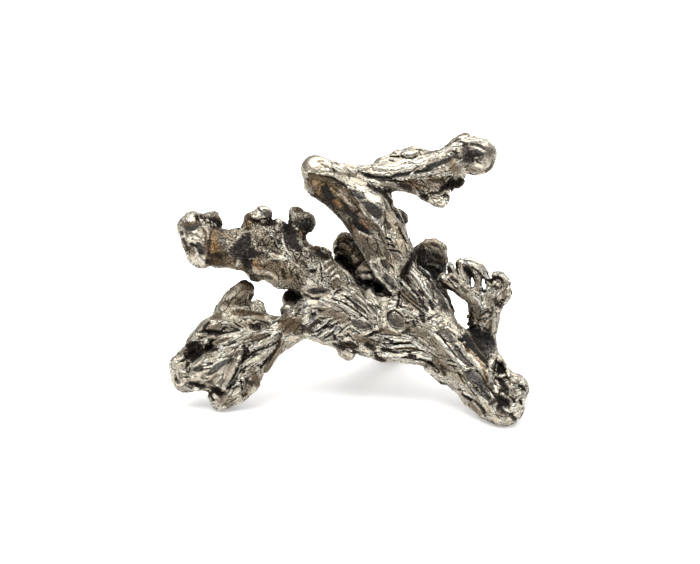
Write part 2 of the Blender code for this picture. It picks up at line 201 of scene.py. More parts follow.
# ---------------------------------------------------------------- carving
# Lumps added to the field and hollows cut out of it, on the front skin: each is
# a chain of (u, v, depth from the skin towards the front, r).
LUMPS = [
    # left branch: white ball, brown lump, ledge under it
    [(238, 263, 0, 3.2)],
    [(256, 263, -1, 4.5), (258, 270, -1, 4.5)],
    [(262, 272, -1, 2.2), (271, 274, -1, 2.5), (280, 283, -1, 2.5)],
    # cap of the left branch: its outer lip and the bar between its two eyes
    [(190, 238, -1.5, 2.4), (199, 240, -1.5, 2.4)],
    [(199, 216, -2, 2.4), (206, 226, -2, 2.4), (208, 238, -2, 2.4), (206, 252, -2, 2.4), (203, 263, -2, 2.4)],
    # mast: the rib down its middle, the lip of the big eye, the right-hand strap
    [(309, 173, -1.5, 2.2), (331, 177, -1.5, 2.2), (345, 185, -1.5, 2.4), (356, 200, -1.5, 2.4), (366, 216, -1.5, 2.4), (382, 232, -1.5, 2.2), (387, 246, -1.5, 2.0)],
    [(386, 222, -1.5, 2.0), (389, 245, -1.5, 2.0), (391, 262, -1.5, 2.0), (397, 282, -1.5, 2.0)],
    [(398, 228, -1.5, 2.4), (405, 240, -1.5, 2.4), (408, 250, -1.5, 2.0)],
    [(371, 262, -1, 2.0), (379, 276, -1, 2.0), (390, 289, -1, 2.0)],
    # shell of blades behind the foot of the mast
    [(360, 270, 0, 3.0), (368, 268, 2, 3.0)],
    [(359, 278, 1, 3.2), (370, 276, 2, 3.2)],
    # top arm: long upper strap and lower strap
    [(374, 168, -1.5, 3.0), (395, 170, -1.5, 3.0), (415, 165, -1.5, 3.0), (440, 154, -1.5, 3.0), (455, 146, -1.5, 3.0)],
    [(352, 172, -1.2, 3.4), (341, 170, -1.2, 4.5), (334, 168, -1.2, 3.5)],
    [(404, 155, -1.0, 3.6), (414, 154, -1.0, 3.6)],
    [(372, 183, -1.2, 2.4), (388, 184, -1.2, 2.4), (400, 188, -1.2, 2.2)],
    [(428, 198, -1.0, 2.4), (440, 203, -1.0, 2.8), (444, 198, -1.0, 2.4)],
    # lower-left frond: rods and balls at the mouth of its cave
    [(197, 335, -1, 2.6), (205, 333, -1, 2.6)], [(197, 340, 0, 2.4), (207, 338, 0, 2.6), (214, 337, 0, 2.4)],
    [(207, 342, 0, 3.2)], [(204, 350, 0, 2.4)], [(184, 353, 0, 2.4)], [(197, 388, -1, 3.0)],
    # its ledge
    [(222, 308, -1.5, 2.4), (233, 307.5, -1.5, 2.4), (246, 308.5, -1.5, 2.2)],
    [(224, 317, -1.5, 2.4), (236, 318, -1.5, 2.4), (250, 318, -1.5, 2.4), (268, 318, -1.5, 2.0)],
    # straps that run from its arm down to the lobe
    [(250, 349, -1.4, 2.0), (258, 343, -1.4, 2.0), (268, 337, -1.4, 2.0), (276, 333, -1.4, 1.8)],
    [(254, 336, -1.4, 1.8), (262, 332, -1.4, 2.0), (271, 330, -1.4, 1.8)],
    [(242, 366, -1.2, 2.6), (250, 359, -1.2, 2.8), (260, 356, -1.2, 2.4), (270, 350, -1.2, 2.0), (277, 343, -1.2, 1.8)],
    [(284, 338, -1.2, 2.4), (276, 354, -1.2, 2.4), (266, 370, -1.2, 2.2)],
    # rim of the leaf
    [(192, 376, -1.0, 2.2), (193, 367, -1.0, 2.2), (201, 361, -1.0, 2.0), (208, 355, -1.0, 2.0), (220, 351, -1.0, 2.0)],
    [(241, 352, -1.2, 2.6), (236, 366, -1.2, 2.4), (230, 380, -1.2, 2.6), (223, 389, -1.2, 2.4)],
    # hub: upper rim of the feather, white block and the blade down its middle
    [(321, 300, -1.0, 1.8), (338, 304, -1.0, 1.9), (352, 312, -1.0, 1.9), (367, 321, -1.0, 1.5)],
    [(345, 293, -1.0, 1.8), (360, 300, -1.0, 1.8), (370, 309, -1.0, 1.8), (377, 318, -1.0, 1.6)],
    [(369, 287.5, -1.8, 2.6), (370.5, 292, -1.4, 3.4), (372.5, 298, -1.0, 3.4), (376, 305, -0.8, 3.0)],
    [(384, 300.5, -1.6, 3.6), (384, 307, -1.4, 3.4), (384, 313, -1.2, 3.2), (384, 325, -1.0, 3.0)],
    [(389, 301.5, -1.5, 3.2), (394, 303.5, -1.5, 3.4)], [(306, 318, -0.8, 3.6), (308, 309, -0.8, 2.8)],
    # hub: lower wavy straps
    [(383, 337, -1.0, 2.2), (395, 339, -1.0, 2.2), (411, 339, -1.0, 2.2), (423, 348, -1.0, 2.0)],
    [(392, 346, -1.0, 1.8), (404, 345, -1.0, 1.8), (414, 346, -1.0, 1.6)],
    [(384, 354, -1.0, 2.2), (400, 354, -1.0, 2.0), (418, 354, -1.0, 2.2), (430, 358, -1.0, 2.0)],
    # hub: white blade on the right and the streaks beside it
    [(411, 268, 0, 3.4), (418, 276, 0.5, 3.6), (426, 287, 0.5, 3.6), (430, 297, 0, 3.0)],
    [(400, 280, -1, 1.8), (408, 287, -1, 1.8), (418, 298, -1, 1.6)], [(400, 290, -1, 1.8), (410, 298, -1, 1.8), (421, 307, -1, 1.6)],
    # right leg: long straps
    [(431, 331, -1.0, 2.0), (437, 339, -1.0, 2.2), (446, 348, -1.0, 2.2), (456, 357, -1.0, 1.8), (468, 370, -1.0, 1.6)],
    [(446, 342, -1.0, 1.4), (456, 356, -1.0, 1.4)],
    [(460, 346, -1.0, 2.6), (470, 358, -1.0, 3.0), (482, 370, -1.0, 2.6)],
    [(469, 384, -1.2, 1.8), (480, 397, -1.2, 1.8), (488, 410, -1.2, 1.8)],
    # right leg: loop and bumps on the foot
    [(492, 359, 1, 3.6), (489, 372, 1, 3.2), (491, 385, 1, 3.0), (497, 393, 0.5, 2.4)],
    [(498, 358, 1, 3.0), (505, 368, 1, 2.6), (509, 376, 1, 2.4)],
    [(498, 377, 0, 2.0), (504, 376, 0, 1.8)], [(514, 380, 0, 3.6)], [(521, 384, 0, 3.0)], [(517, 393, 0, 3.2)],
    [(513, 407, 0, 3.4)], [(522, 401, 0, 3.0)], [(505, 407, 0, 1.6), (508, 410, 0, 1.6)],
    [(503, 395, 0.5, 1.6)],
    # right frond: curl and crest of its cap
    [(494, 276, 0, 2.2), (501, 275, 1, 2.6), (507, 282, 1, 3.0), (508, 292, 1, 3.2), (504, 301, 0.5, 3.0)],
    [(466, 263, 0.5, 2.0), (475, 266, 0.5, 2.0), (482, 273, 0.5, 1.6)],
    [(482, 305, -0.5, 4.0)], [(468.4, 316, 1, 1.8)], [(468.6, 323.8, 1, 1.4)],
    # rear knob: edge of its top, left shoulder
    [(424, 244, -2, 3.2), (434, 243, -2, 3.4), (443, 247, -3, 3.2)], [(444, 250, -3, 2.6), (445, 262, -4, 2.4)],
    [(413, 256, -2, 3.0), (409, 266, -2, 2.6)], [(427, 262, -1, 3.4), (438, 268, -1, 3.0)], [(419, 270, -1, 2.6), (428, 277, -1, 2.6)],
    # rear spur: knuckles
    [(339, 239, -0.5, 3.4)], [(349, 237, -0.5, 3.2)], [(343, 247, 0, 3.6), (349, 252, 0, 3.2)], [(353, 245, 0, 2.8)],
    [(340, 254, -0.5, 3.0)], [(352, 258, 0, 3.0), (357, 262, 0, 2.6)], [(336, 247, -0.5, 2.4)],
    # knuckles of the small double nub, nose at the root of the right leg
    [(317.5, 249, 0.5, 3.2)], [(325, 254.5, 0.5, 3.2)], [(313, 254, 0, 2.4)], [(429.5, 367.5, 0, 3.0), (437, 371, 0, 2.6)],
    # crumbs along the lump of the top arm
    [(463, 176.5, -2, 1.8)], [(461.5, 181, -2, 1.7)], [(458, 186, -2, 1.9)], [(452, 189.5, -2, 1.7)], [(448, 193, -1, 1.6)],
    [(446, 181, 0, 1.7)], [(455, 178, 0, 1.6)],
]
HOLLOWS = [
    # bay between the mast's strut and its nub, and the small double nub of the left branch
    [(393, 204, 1, 1.6), (396, 211, 1, 1.8), (399, 224, 0.8, 1.5)],
    [(321.5, 249.5, 1, 2.0), (320, 257, 0.5, 1.4)],
    # dents of the rear knob
    [(420, 252, 3.0, 5.0)], [(434, 255, 3.4, 5.0), (440, 257, 3.4, 4.0)], [(420, 263, 1.6, 2.6)], [(432, 273, 3.0, 4.6)], [(414, 262, 1.4, 2.4)],
    # between the knuckles of the spur
    [(344, 241, 1, 2.0)], [(349, 244, 1, 1.8)], [(337, 251, 1, 1.6)], [(347, 257, 1, 2.2)], [(354, 252, 1, 1.8)], [(341, 259, 0.5, 2.4)],
    # ragged edge of the arm's lump
    [(460, 178.8, 1, 1.2)], [(456, 183, 1, 1.6)], [(450, 187, 1, 1.8)], [(462.5, 184.5, -2, 1.2)], [(456, 190, -2, 1.3)],
    # closed black hollow between the spur and the mast
    [(342, 262, -4, 7), (352, 272, -8, 8), (362, 284, -8, 6)],
    # black hole over the hub
    [(377, 288, -7, 6.4), (384, 290, -9, 7.2), (389, 293, -8, 5.4)],
    # pits in the left branch's knobs
    [(203, 217, 0.5, 2.2)], [(209, 222, 0.5, 2.6), (216, 222, 0.5, 2.4)], [(219, 226, 0.5, 2.8)],
    [(250, 219, 0.5, 2.2), (259, 222, 0.5, 2.2)], [(263, 219, 0.5, 1.4), (267, 219, 0.5, 1.4)],
    [(192, 244, 0.5, 2.2), (196, 246, 0.5, 2.0)],
    [(313, 271, 0.5, 2.6)], [(248, 263, 1, 4.0)],
    [(275, 244, 0.5, 1.6), (278, 249, 0.5, 1.6)],
    # mast: holes of its stained left face
    [(357, 211, 0.5, 1.6)], [(343, 206, 0.5, 2.0), (348, 209, 0.5, 2.0)],
    [(355, 224, 1, 2.6), (362, 229, 1, 3.0), (366, 232, 1, 2.6)],
    [(328, 190, 1, 2.6), (332, 196, 1, 2.6)],
    # under the arm, at the mast
    [(377, 193, 1.5, 2.2), (387, 195, 1.5, 3.0), (389, 203, 1.5, 2.2)],
    # the arm's long dark channels
    [(359, 171, 0.8, 1.5), (368, 176, 0.8, 1.8), (380, 180, 0.8, 1.5), (400, 181, 0.8, 1.9), (409, 182, 0.8, 1.6)],
    [(401, 156, 0.6, 1.0), (406, 159, 0.6, 1.5), (417, 157, 0.6, 1.0)],
    # the lump's cave
    [(442, 188, 0.5, 3.6), (450, 184, 0.5, 4.0), (458, 182, 0.5, 3.4)], [(425, 196, 0.5, 2.4)],
    # knob of the arm: slots
    [(461, 142, 0.6, 1.2), (467, 144, 0.6, 1.0)], [(453, 151, 0.6, 1.3), (457, 153, 0.6, 1.2)], [(475, 157, 0.5, 1.5)],
    # lower-left frond: mouth of the cave and the slot that runs from it
    [(192, 347, -1, 5.0), (191, 354, -1, 6.0), (197, 358, -2, 5.5)], [(199, 348, -1, 4.2), (200, 355, -1, 4.2)], [(210, 347, -0.5, 4.0), (204, 354, 0, 3.4)], [(216, 350, 0, 1.6), (208, 353, 0, 2.0)],
    [(189, 362, 0.2, 1.8), (187, 369, 0.2, 1.5), (188, 378, 0.2, 1.7), (190, 383, 0.2, 1.8)],
    [(198, 333, -0.5, 2.0), (209, 332, -1.0, 2.8), (218, 334, -1.0, 3.2), (228, 333, -0.8, 2.6), (238, 331, 0.0, 1.3)],
    [(182, 361, 0.8, 1.5), (190, 358, 0.8, 2.2)], [(177, 379, 0.5, 1.8), (178.5, 381, 0.5, 1.6)],
    [(179, 372, 0.6, 1.3), (184, 374, 0.6, 1.3)],
    # slot beside the leaf
    [(246, 350, -0.3, 2.0), (242, 360, -0.5, 2.1), (238, 369, -0.7, 2.3), (235, 377, -0.7, 2.5), (229, 387, -0.3, 2.2)],
    # under the leaf
    [(191, 383, 0, 2.4), (198, 384, -0.5, 3.0), (204, 385, 0, 2.4)], [(213, 388, 0, 2.8), (218, 391, -0.5, 3.8), (223, 395, 0, 2.8)],
    [(211, 395, 0.5, 1.8), (212, 400, 0.5, 1.6)],
    # edge strip of the frond's arm
    [(281, 336, 0.0, 1.7), (278, 346, 0.0, 1.9), (270, 357, 0.0, 2.2), (261, 366, 0.0, 2.4)],
    [(257, 341, 0.8, 1.3), (264, 339, 0.8, 1.2)], [(254, 355, 0.6, 1.9), (260, 355, 0.6, 1.5)], [(246, 343, 0.5, 2.0)],
    # hub: dark line over the bright blade, the fan's slits, the nub's cave
    [(333, 299, 0.3, 1.3), (345, 304, 0.2, 1.5), (356, 311, 0.2, 1.5), (367, 319, 0.3, 1.2)],
    [(331, 320, 0.3, 1.2), (325, 325, 0.2, 1.5), (318, 331, 0.3, 1.2)], [(326, 327.5, 0, 2.0), (334, 325, 0.2, 1.6), (338, 322, 0.4, 1.0)],
    [(351, 302, 0.5, 1.0), (357, 308, 0.5, 1.2)], [(355, 301, 0.5, 0.7), (362, 308, 0.5, 0.8)],
    [(314, 314.5, 0.5, 1.3)], [(320, 310, 0.5, 1.1)], [(336, 292, 0.6, 1.1), (339, 290.5, 0.6, 1.0)],
    [(312, 298.5, 0.6, 1.1), (320, 298.5, 0.6, 1.2)], [(343, 345, 1, 3.4), (350, 345, 0.5, 3.2), (355, 347, 0.5, 2.6)],
    [(369, 345, 0.6, 1.6), (374, 349, 0.6, 1.4)], [(376, 354, 0.5, 1.4)], [(381, 359, 0.5, 2.0)],
    [(335, 335, 0.5, 1.1)], [(335, 338, 0.5, 1.1)], [(372, 334, 0.6, 1.3), (378, 332, 0.6, 1.5)],
    # hub: right-hand crevices
    [(399, 293, 0.6, 1.3), (399, 301, 0.6, 1.2), (397, 306, 0.6, 1.0)], [(401, 306, 0.6, 1.1), (408, 309, 0.6, 1.3)],
    [(407, 317, 0.5, 1.1)], [(407, 323, 0.5, 1.3)], [(413, 321, 0.5, 1.1)], [(415, 325, 0.5, 1.3)], [(417, 321.5, 0.5, 1.0)],
    [(419, 290, 0.6, 1.2), (426, 296, 0.6, 1.6), (430, 303, 0.6, 1.8), (433, 309, 0.6, 1.6)],
    [(419, 298, 0.6, 1.3)], [(423, 315, 0.5, 3.0), (423, 320, 0.5, 2.4)], [(430, 318, 0.6, 1.6), (435, 315.5, 0.6, 2.0), (440, 312, 0.6, 1.2)],
    [(422, 303, 0.6, 1.2), (427, 309, 0.6, 1.2)], [(414, 290, 0.6, 1.1), (417, 294, 0.6, 1.0)],
    [(385, 348, 0.6, 1.9), (390, 349, 0.6, 1.3)], [(401, 352.5, 0.5, 0.9), (410, 352.5, 0.5, 0.9)], [(413, 355.5, 0.5, 1.2)],
    # black gap between mast and hub blade
    [(411, 260, 1, 2.2), (407, 268, 1, 2.4), (404, 274, 0.6, 1.6)],
    # right leg
    [(461, 340, 0.5, 1.5)], [(458, 373, 0.2, 1.2), (465, 383, 0.2, 1.2)], [(470, 387, 0.3, 1.1), (478, 396, 0.3, 1.3), (485, 410, 0.3, 1.3)],
    [(476, 401, 0.6, 1.6), (484, 410, 0.6, 1.4)], [(464, 395, 0.6, 1.2), (470, 400, 0.6, 1.5)], [(460, 389, 0.5, 1.2)],
    [(433, 369, 0.5, 0.8), (437, 372, 0.5, 0.8)], [(466, 350, 0.5, 1.3)],
    # right foot
    [(501, 365, 0, 2.4), (501, 370, -1, 4.4)], [(486, 379, 0.6, 1.4), (488, 388, 0.6, 1.3), (494, 394, 0.6, 1.1)],
    [(502, 383, 0, 3.4), (505, 389, 0, 3.2), (501, 391, 0, 2.6)], [(501, 400, -0.5, 4.2), (505, 402, -0.5, 4.2), (499, 408, 0, 3.4)],
    [(502, 413, 0, 2.8)], [(511, 415, 0, 2.4), (513, 419, 0, 2.4)], [(513, 398, 0.5, 1.0), (516, 403, 0.5, 1.0)],
    [(523, 389, 0.5, 1.5)], [(520, 402, 0.5, 1.3)], [(519, 386, 0.5, 1.1)],
    # right frond: hollow under its arch, the two slits that go right through
    [(465, 269, 0.5, 2.2), (470, 273, 0, 2.2)],
    [(488, 280.7, 0.8, 1.2)], [(452, 278, 0.6, 1.3), (456, 281, 0.6, 1.3)], [(450, 269, 0.6, 0.9), (453, 273, 0.6, 0.9)],
    [(494, 279, 0.4, 1.3), (501, 281, 0.4, 1.5), (503, 288, 0.4, 1.2)], [(492, 284, 0.5, 1.5), (497, 287, 0.5, 1.6)],
    [(462, 287, 0.5, 1.1), (465, 291, 0.5, 1.1)], [(482, 292, 0.5, 1.3)], [(502, 300, 0.5, 1.2)], [(490, 297, 0.5, 1.1)],
    [(471, 314, 0.6, 1.6), (469, 320, 0.6, 1.8)], [(486, 316, 0.5, 1.4), (482, 322, 0.5, 1.6)],
    # rear knob
    [(421, 255, 0.6, 1.8)], [(417, 262, 0.6, 1.6), (430, 262, 0.6, 1.5)], [(433, 268, 0.6, 1.6), (438, 273, 0.6, 1.6)],
    [(432, 252, 0.5, 1.2), (437, 254, 0.5, 1.2)], [(427, 275, 0.5, 1.2)],
]

# cuts that go right through: chains of (u, v, r), and the depths they run between
CUTS = [
    # the two slits of the right frond
    ((12, -30), (471.8, 278.5, 2.0), (471.8, 282, 2.4), (472, 286, 2.2)), ((12, -30), (483.6, 280, 2.2), (484, 284.5, 2.5), (484.6, 289, 1.8)),
    # notches that part its fingers and its cap, and the gap beside the rear knob
    ((12, -34), (454.6, 259, 2.6), (455.2, 263, 1.9), (456.4, 268, 1.3)), ((12, -15), (446.3, 258, 1.9), (446.2, 266, 1.7), (446.6, 274, 1.3)),
    ((12, -34), (491.0, 269.5, 3.0), (490.8, 274, 2.0), (490.4, 278, 1.4)),
    # between the two knuckles of the top arm's knob
    ((30, -30), (473.2, 133.2, 3.6)),
    # bay between the mast's strut and its nub
    ((20, -34), (396.5, 200, 4.4), (396.8, 204.5, 4.6)), ((20, -34), (400, 206.0, 3.8), (404.5, 207.0, 3.8)),
    # ragged inner edge of the right frond's stalk
    ((14, -30), (467.0, 311.6, 1.7)), ((14, -30), (466.6, 320.6, 1.9)), ((14, -30), (468.4, 326.6, 1.4)), ((14, -34), (464.0, 304, 2.0)),
]

# ---------------------------------------------------------------- marks on the skin
# half width in sheet units, height or depth in mm, then the line
RIDGES = [
    # left branch: cap, ladder of small bars, ledges
    (2.2, 0.14, (309, 268), (313, 266), (317, 268)),
    (1.7, 0.16, (325, 263), (331, 260)), (1.7, 0.16, (326, 271), (333, 266)),
    (1.7, 0.16, (330, 275), (336, 270)), (1.7, 0.16, (331, 280), (337, 276), (341, 279)),
    (2.0, 0.12, (319, 262), (318, 272), (315, 284)),
    (2.0, 0.12, (264, 262), (275, 259), (286, 258), (298, 266), (306, 273)),
    (1.8, 0.12, (284, 231), (282, 240), (285, 248), (289, 253)),
    (2.2, 0.10, (212, 232), (226, 234), (238, 232)),
    # mast: streaks along its left face, coils on its right
    (1.6, 0.10, (326, 182), (340, 190), (350, 204), (362, 220), (372, 234)),
    (1.6, 0.10, (340, 203), (352, 214), (364, 226), (374, 240)),
    (1.4, 0.10, (333, 208), (345, 218), (356, 232), (364, 250)),
    (1.5, 0.16, (386, 236), (390, 235), (391, 238)), (1.5, 0.16, (388, 241), (394, 240), (394, 243)),
    (1.5, 0.16, (389, 246), (396, 246), (396, 249)), (1.5, 0.14, (392, 252), (398, 253)),
    (1.6, 0.14, (371, 216), (378, 222), (381, 228)), (1.6, 0.12, (397, 233), (404, 246), (406, 254)),
    (1.5, 0.12, (402, 259), (407, 258), (407, 262)), (1.5, 0.12, (394, 264), (398, 272), (400, 280)),
    (1.6, 0.14, (358, 274), (366, 268), (374, 268)), (1.6, 0.14, (358, 282), (366, 278), (374, 280)),
    (1.5, 0.12, (359, 267), (364, 262), (370, 261)),
    # top arm: long bright lines
    (1.8, 0.14, (370, 168), (382, 168), (396, 170), (410, 167), (425, 161)),
    (1.6, 0.12, (398, 176), (410, 174), (424, 170), (436, 168), (450, 166)),
    (1.6, 0.12, (372, 178), (388, 179), (404, 179), (411, 177)), (1.4, 0.12, (408, 177), (413, 171), (418, 165)),
    (1.6, 0.12, (376, 183), (388, 185), (397, 188)), (1.5, 0.10, (386, 157), (396, 155), (401, 155)),
    (2.0, 0.14, (465, 142), (474, 142), (482, 145), (486, 150)),
    (1.6, 0.12, (425, 197), (434, 200), (443, 200)), (1.6, 0.12, (429, 191), (438, 192), (445, 189)),
    (1.6, 0.12, (416, 176), (428, 174), (440, 173)),
    (1.5, 0.10, (392, 163), (404, 162), (414, 160), (424, 157)), (1.4, 0.10, (440, 160), (450, 156), (460, 151)), (1.4, 0.10, (436, 155), (446, 150), (456, 145)),
]
GROOVES = [
    # left branch
    (2.6, 0.13, (210, 229), (210, 240), (208, 255), (206, 266)),
    (1.6, 0.22, (249, 218), (255, 221), (262, 221)), (1.5, 0.20, (252, 262), (252, 270), (256, 276), (264, 276), (272, 277)),
    (1.5, 0.16, (264, 268), (268, 264), (272, 263)), (1.6, 0.18, (283, 231), (286, 245), (290, 252)),
    (1.6, 0.20, (299, 226), (304, 234), (303, 246)), (1.5, 0.16, (300, 262), (304, 270), (309, 273)),
    (1.5, 0.16, (321, 262), (322, 282)), (1.3, 0.14, (267, 237), (272, 238)), (1.3, 0.16, (267, 246), (272, 242)),
    (1.6, 0.18, (196, 214), (200, 222), (205, 232)), (1.4, 0.12, (187, 233), (196, 235), (203, 240)),
    # mast
    (1.8, 0.24, (309, 173), (322, 176), (333, 178), (342, 184), (350, 189)),
    (1.4, 0.16, (332, 167), (336, 174), (342, 178), (348, 180)), (1.5, 0.20, (349, 189), (354, 198), (361, 206), (372, 220), (381, 230), (386, 240)),
    (1.4, 0.16, (384, 210), (386, 220), (380, 228)), (1.4, 0.18, (384, 222), (387, 240), (390, 252), (392, 266), (396, 276)),
    (1.5, 0.20, (399, 229), (404, 238), (408, 243)), (1.4, 0.16, (392, 226), (394, 233)),
    (1.4, 0.18, (367, 239), (368, 244)), (1.3, 0.14, (371, 245), (376, 243), (379, 246)),
    (1.2, 0.16, (385, 238), (390, 239)), (1.2, 0.16, (387, 244), (394, 245)), (1.2, 0.16, (389, 250), (397, 251)),
    (1.6, 0.22, (358, 265), (363, 263), (370, 262)), (1.5, 0.20, (359, 272), (368, 271), (375, 275)),
    (1.4, 0.16, (382, 257), (386, 252)), (1.4, 0.14, (345, 166), (350, 172), (349, 180)), (1.2, 0.12, (348, 170), (356, 176), (358, 172)),
    (1.5, 0.20, (398, 276), (402, 284), (399, 296)),
    # top arm
    (1.6, 0.20, (362, 174), (374, 177), (390, 177), (397, 174), (410, 172), (425, 170), (431, 173)),
    (1.3, 0.16, (378, 184), (388, 187), (395, 189)), (1.2, 0.14, (389, 156), (400, 157)), (1.2, 0.14, (388, 159), (396, 161)),
    (1.3, 0.14, (370, 168), (384, 168), (395, 170), (406, 167)), (1.2, 0.16, (412, 171), (418, 166)),
    (1.6, 0.16, (470, 144), (479, 146), (486, 150)), (1.4, 0.16, (419, 151), (421, 156)),
    (1.5, 0.18, (430, 192), (436, 193), (444, 190)), (1.3, 0.16, (427, 197), (434, 199), (442, 200)),
    (1.3, 0.14, (414, 184), (424, 186), (430, 190)), (1.3, 0.16, (432, 181), (434, 184)),
    (1.3, 0.12, (472, 165), (476, 161), (482, 164)), (1.3, 0.14, (484, 172), (490, 168), (493, 162)),
    (1.2, 0.07, (318, 161), (324, 162)),
    (1.1, 0.10, (382, 165), (392, 166), (402, 164.5), (412, 162)), (1.0, 0.09, (416, 160), (426, 158), (434, 154)), (1.0, 0.09, (444, 153), (450, 150)),
]
PLATES = 5200
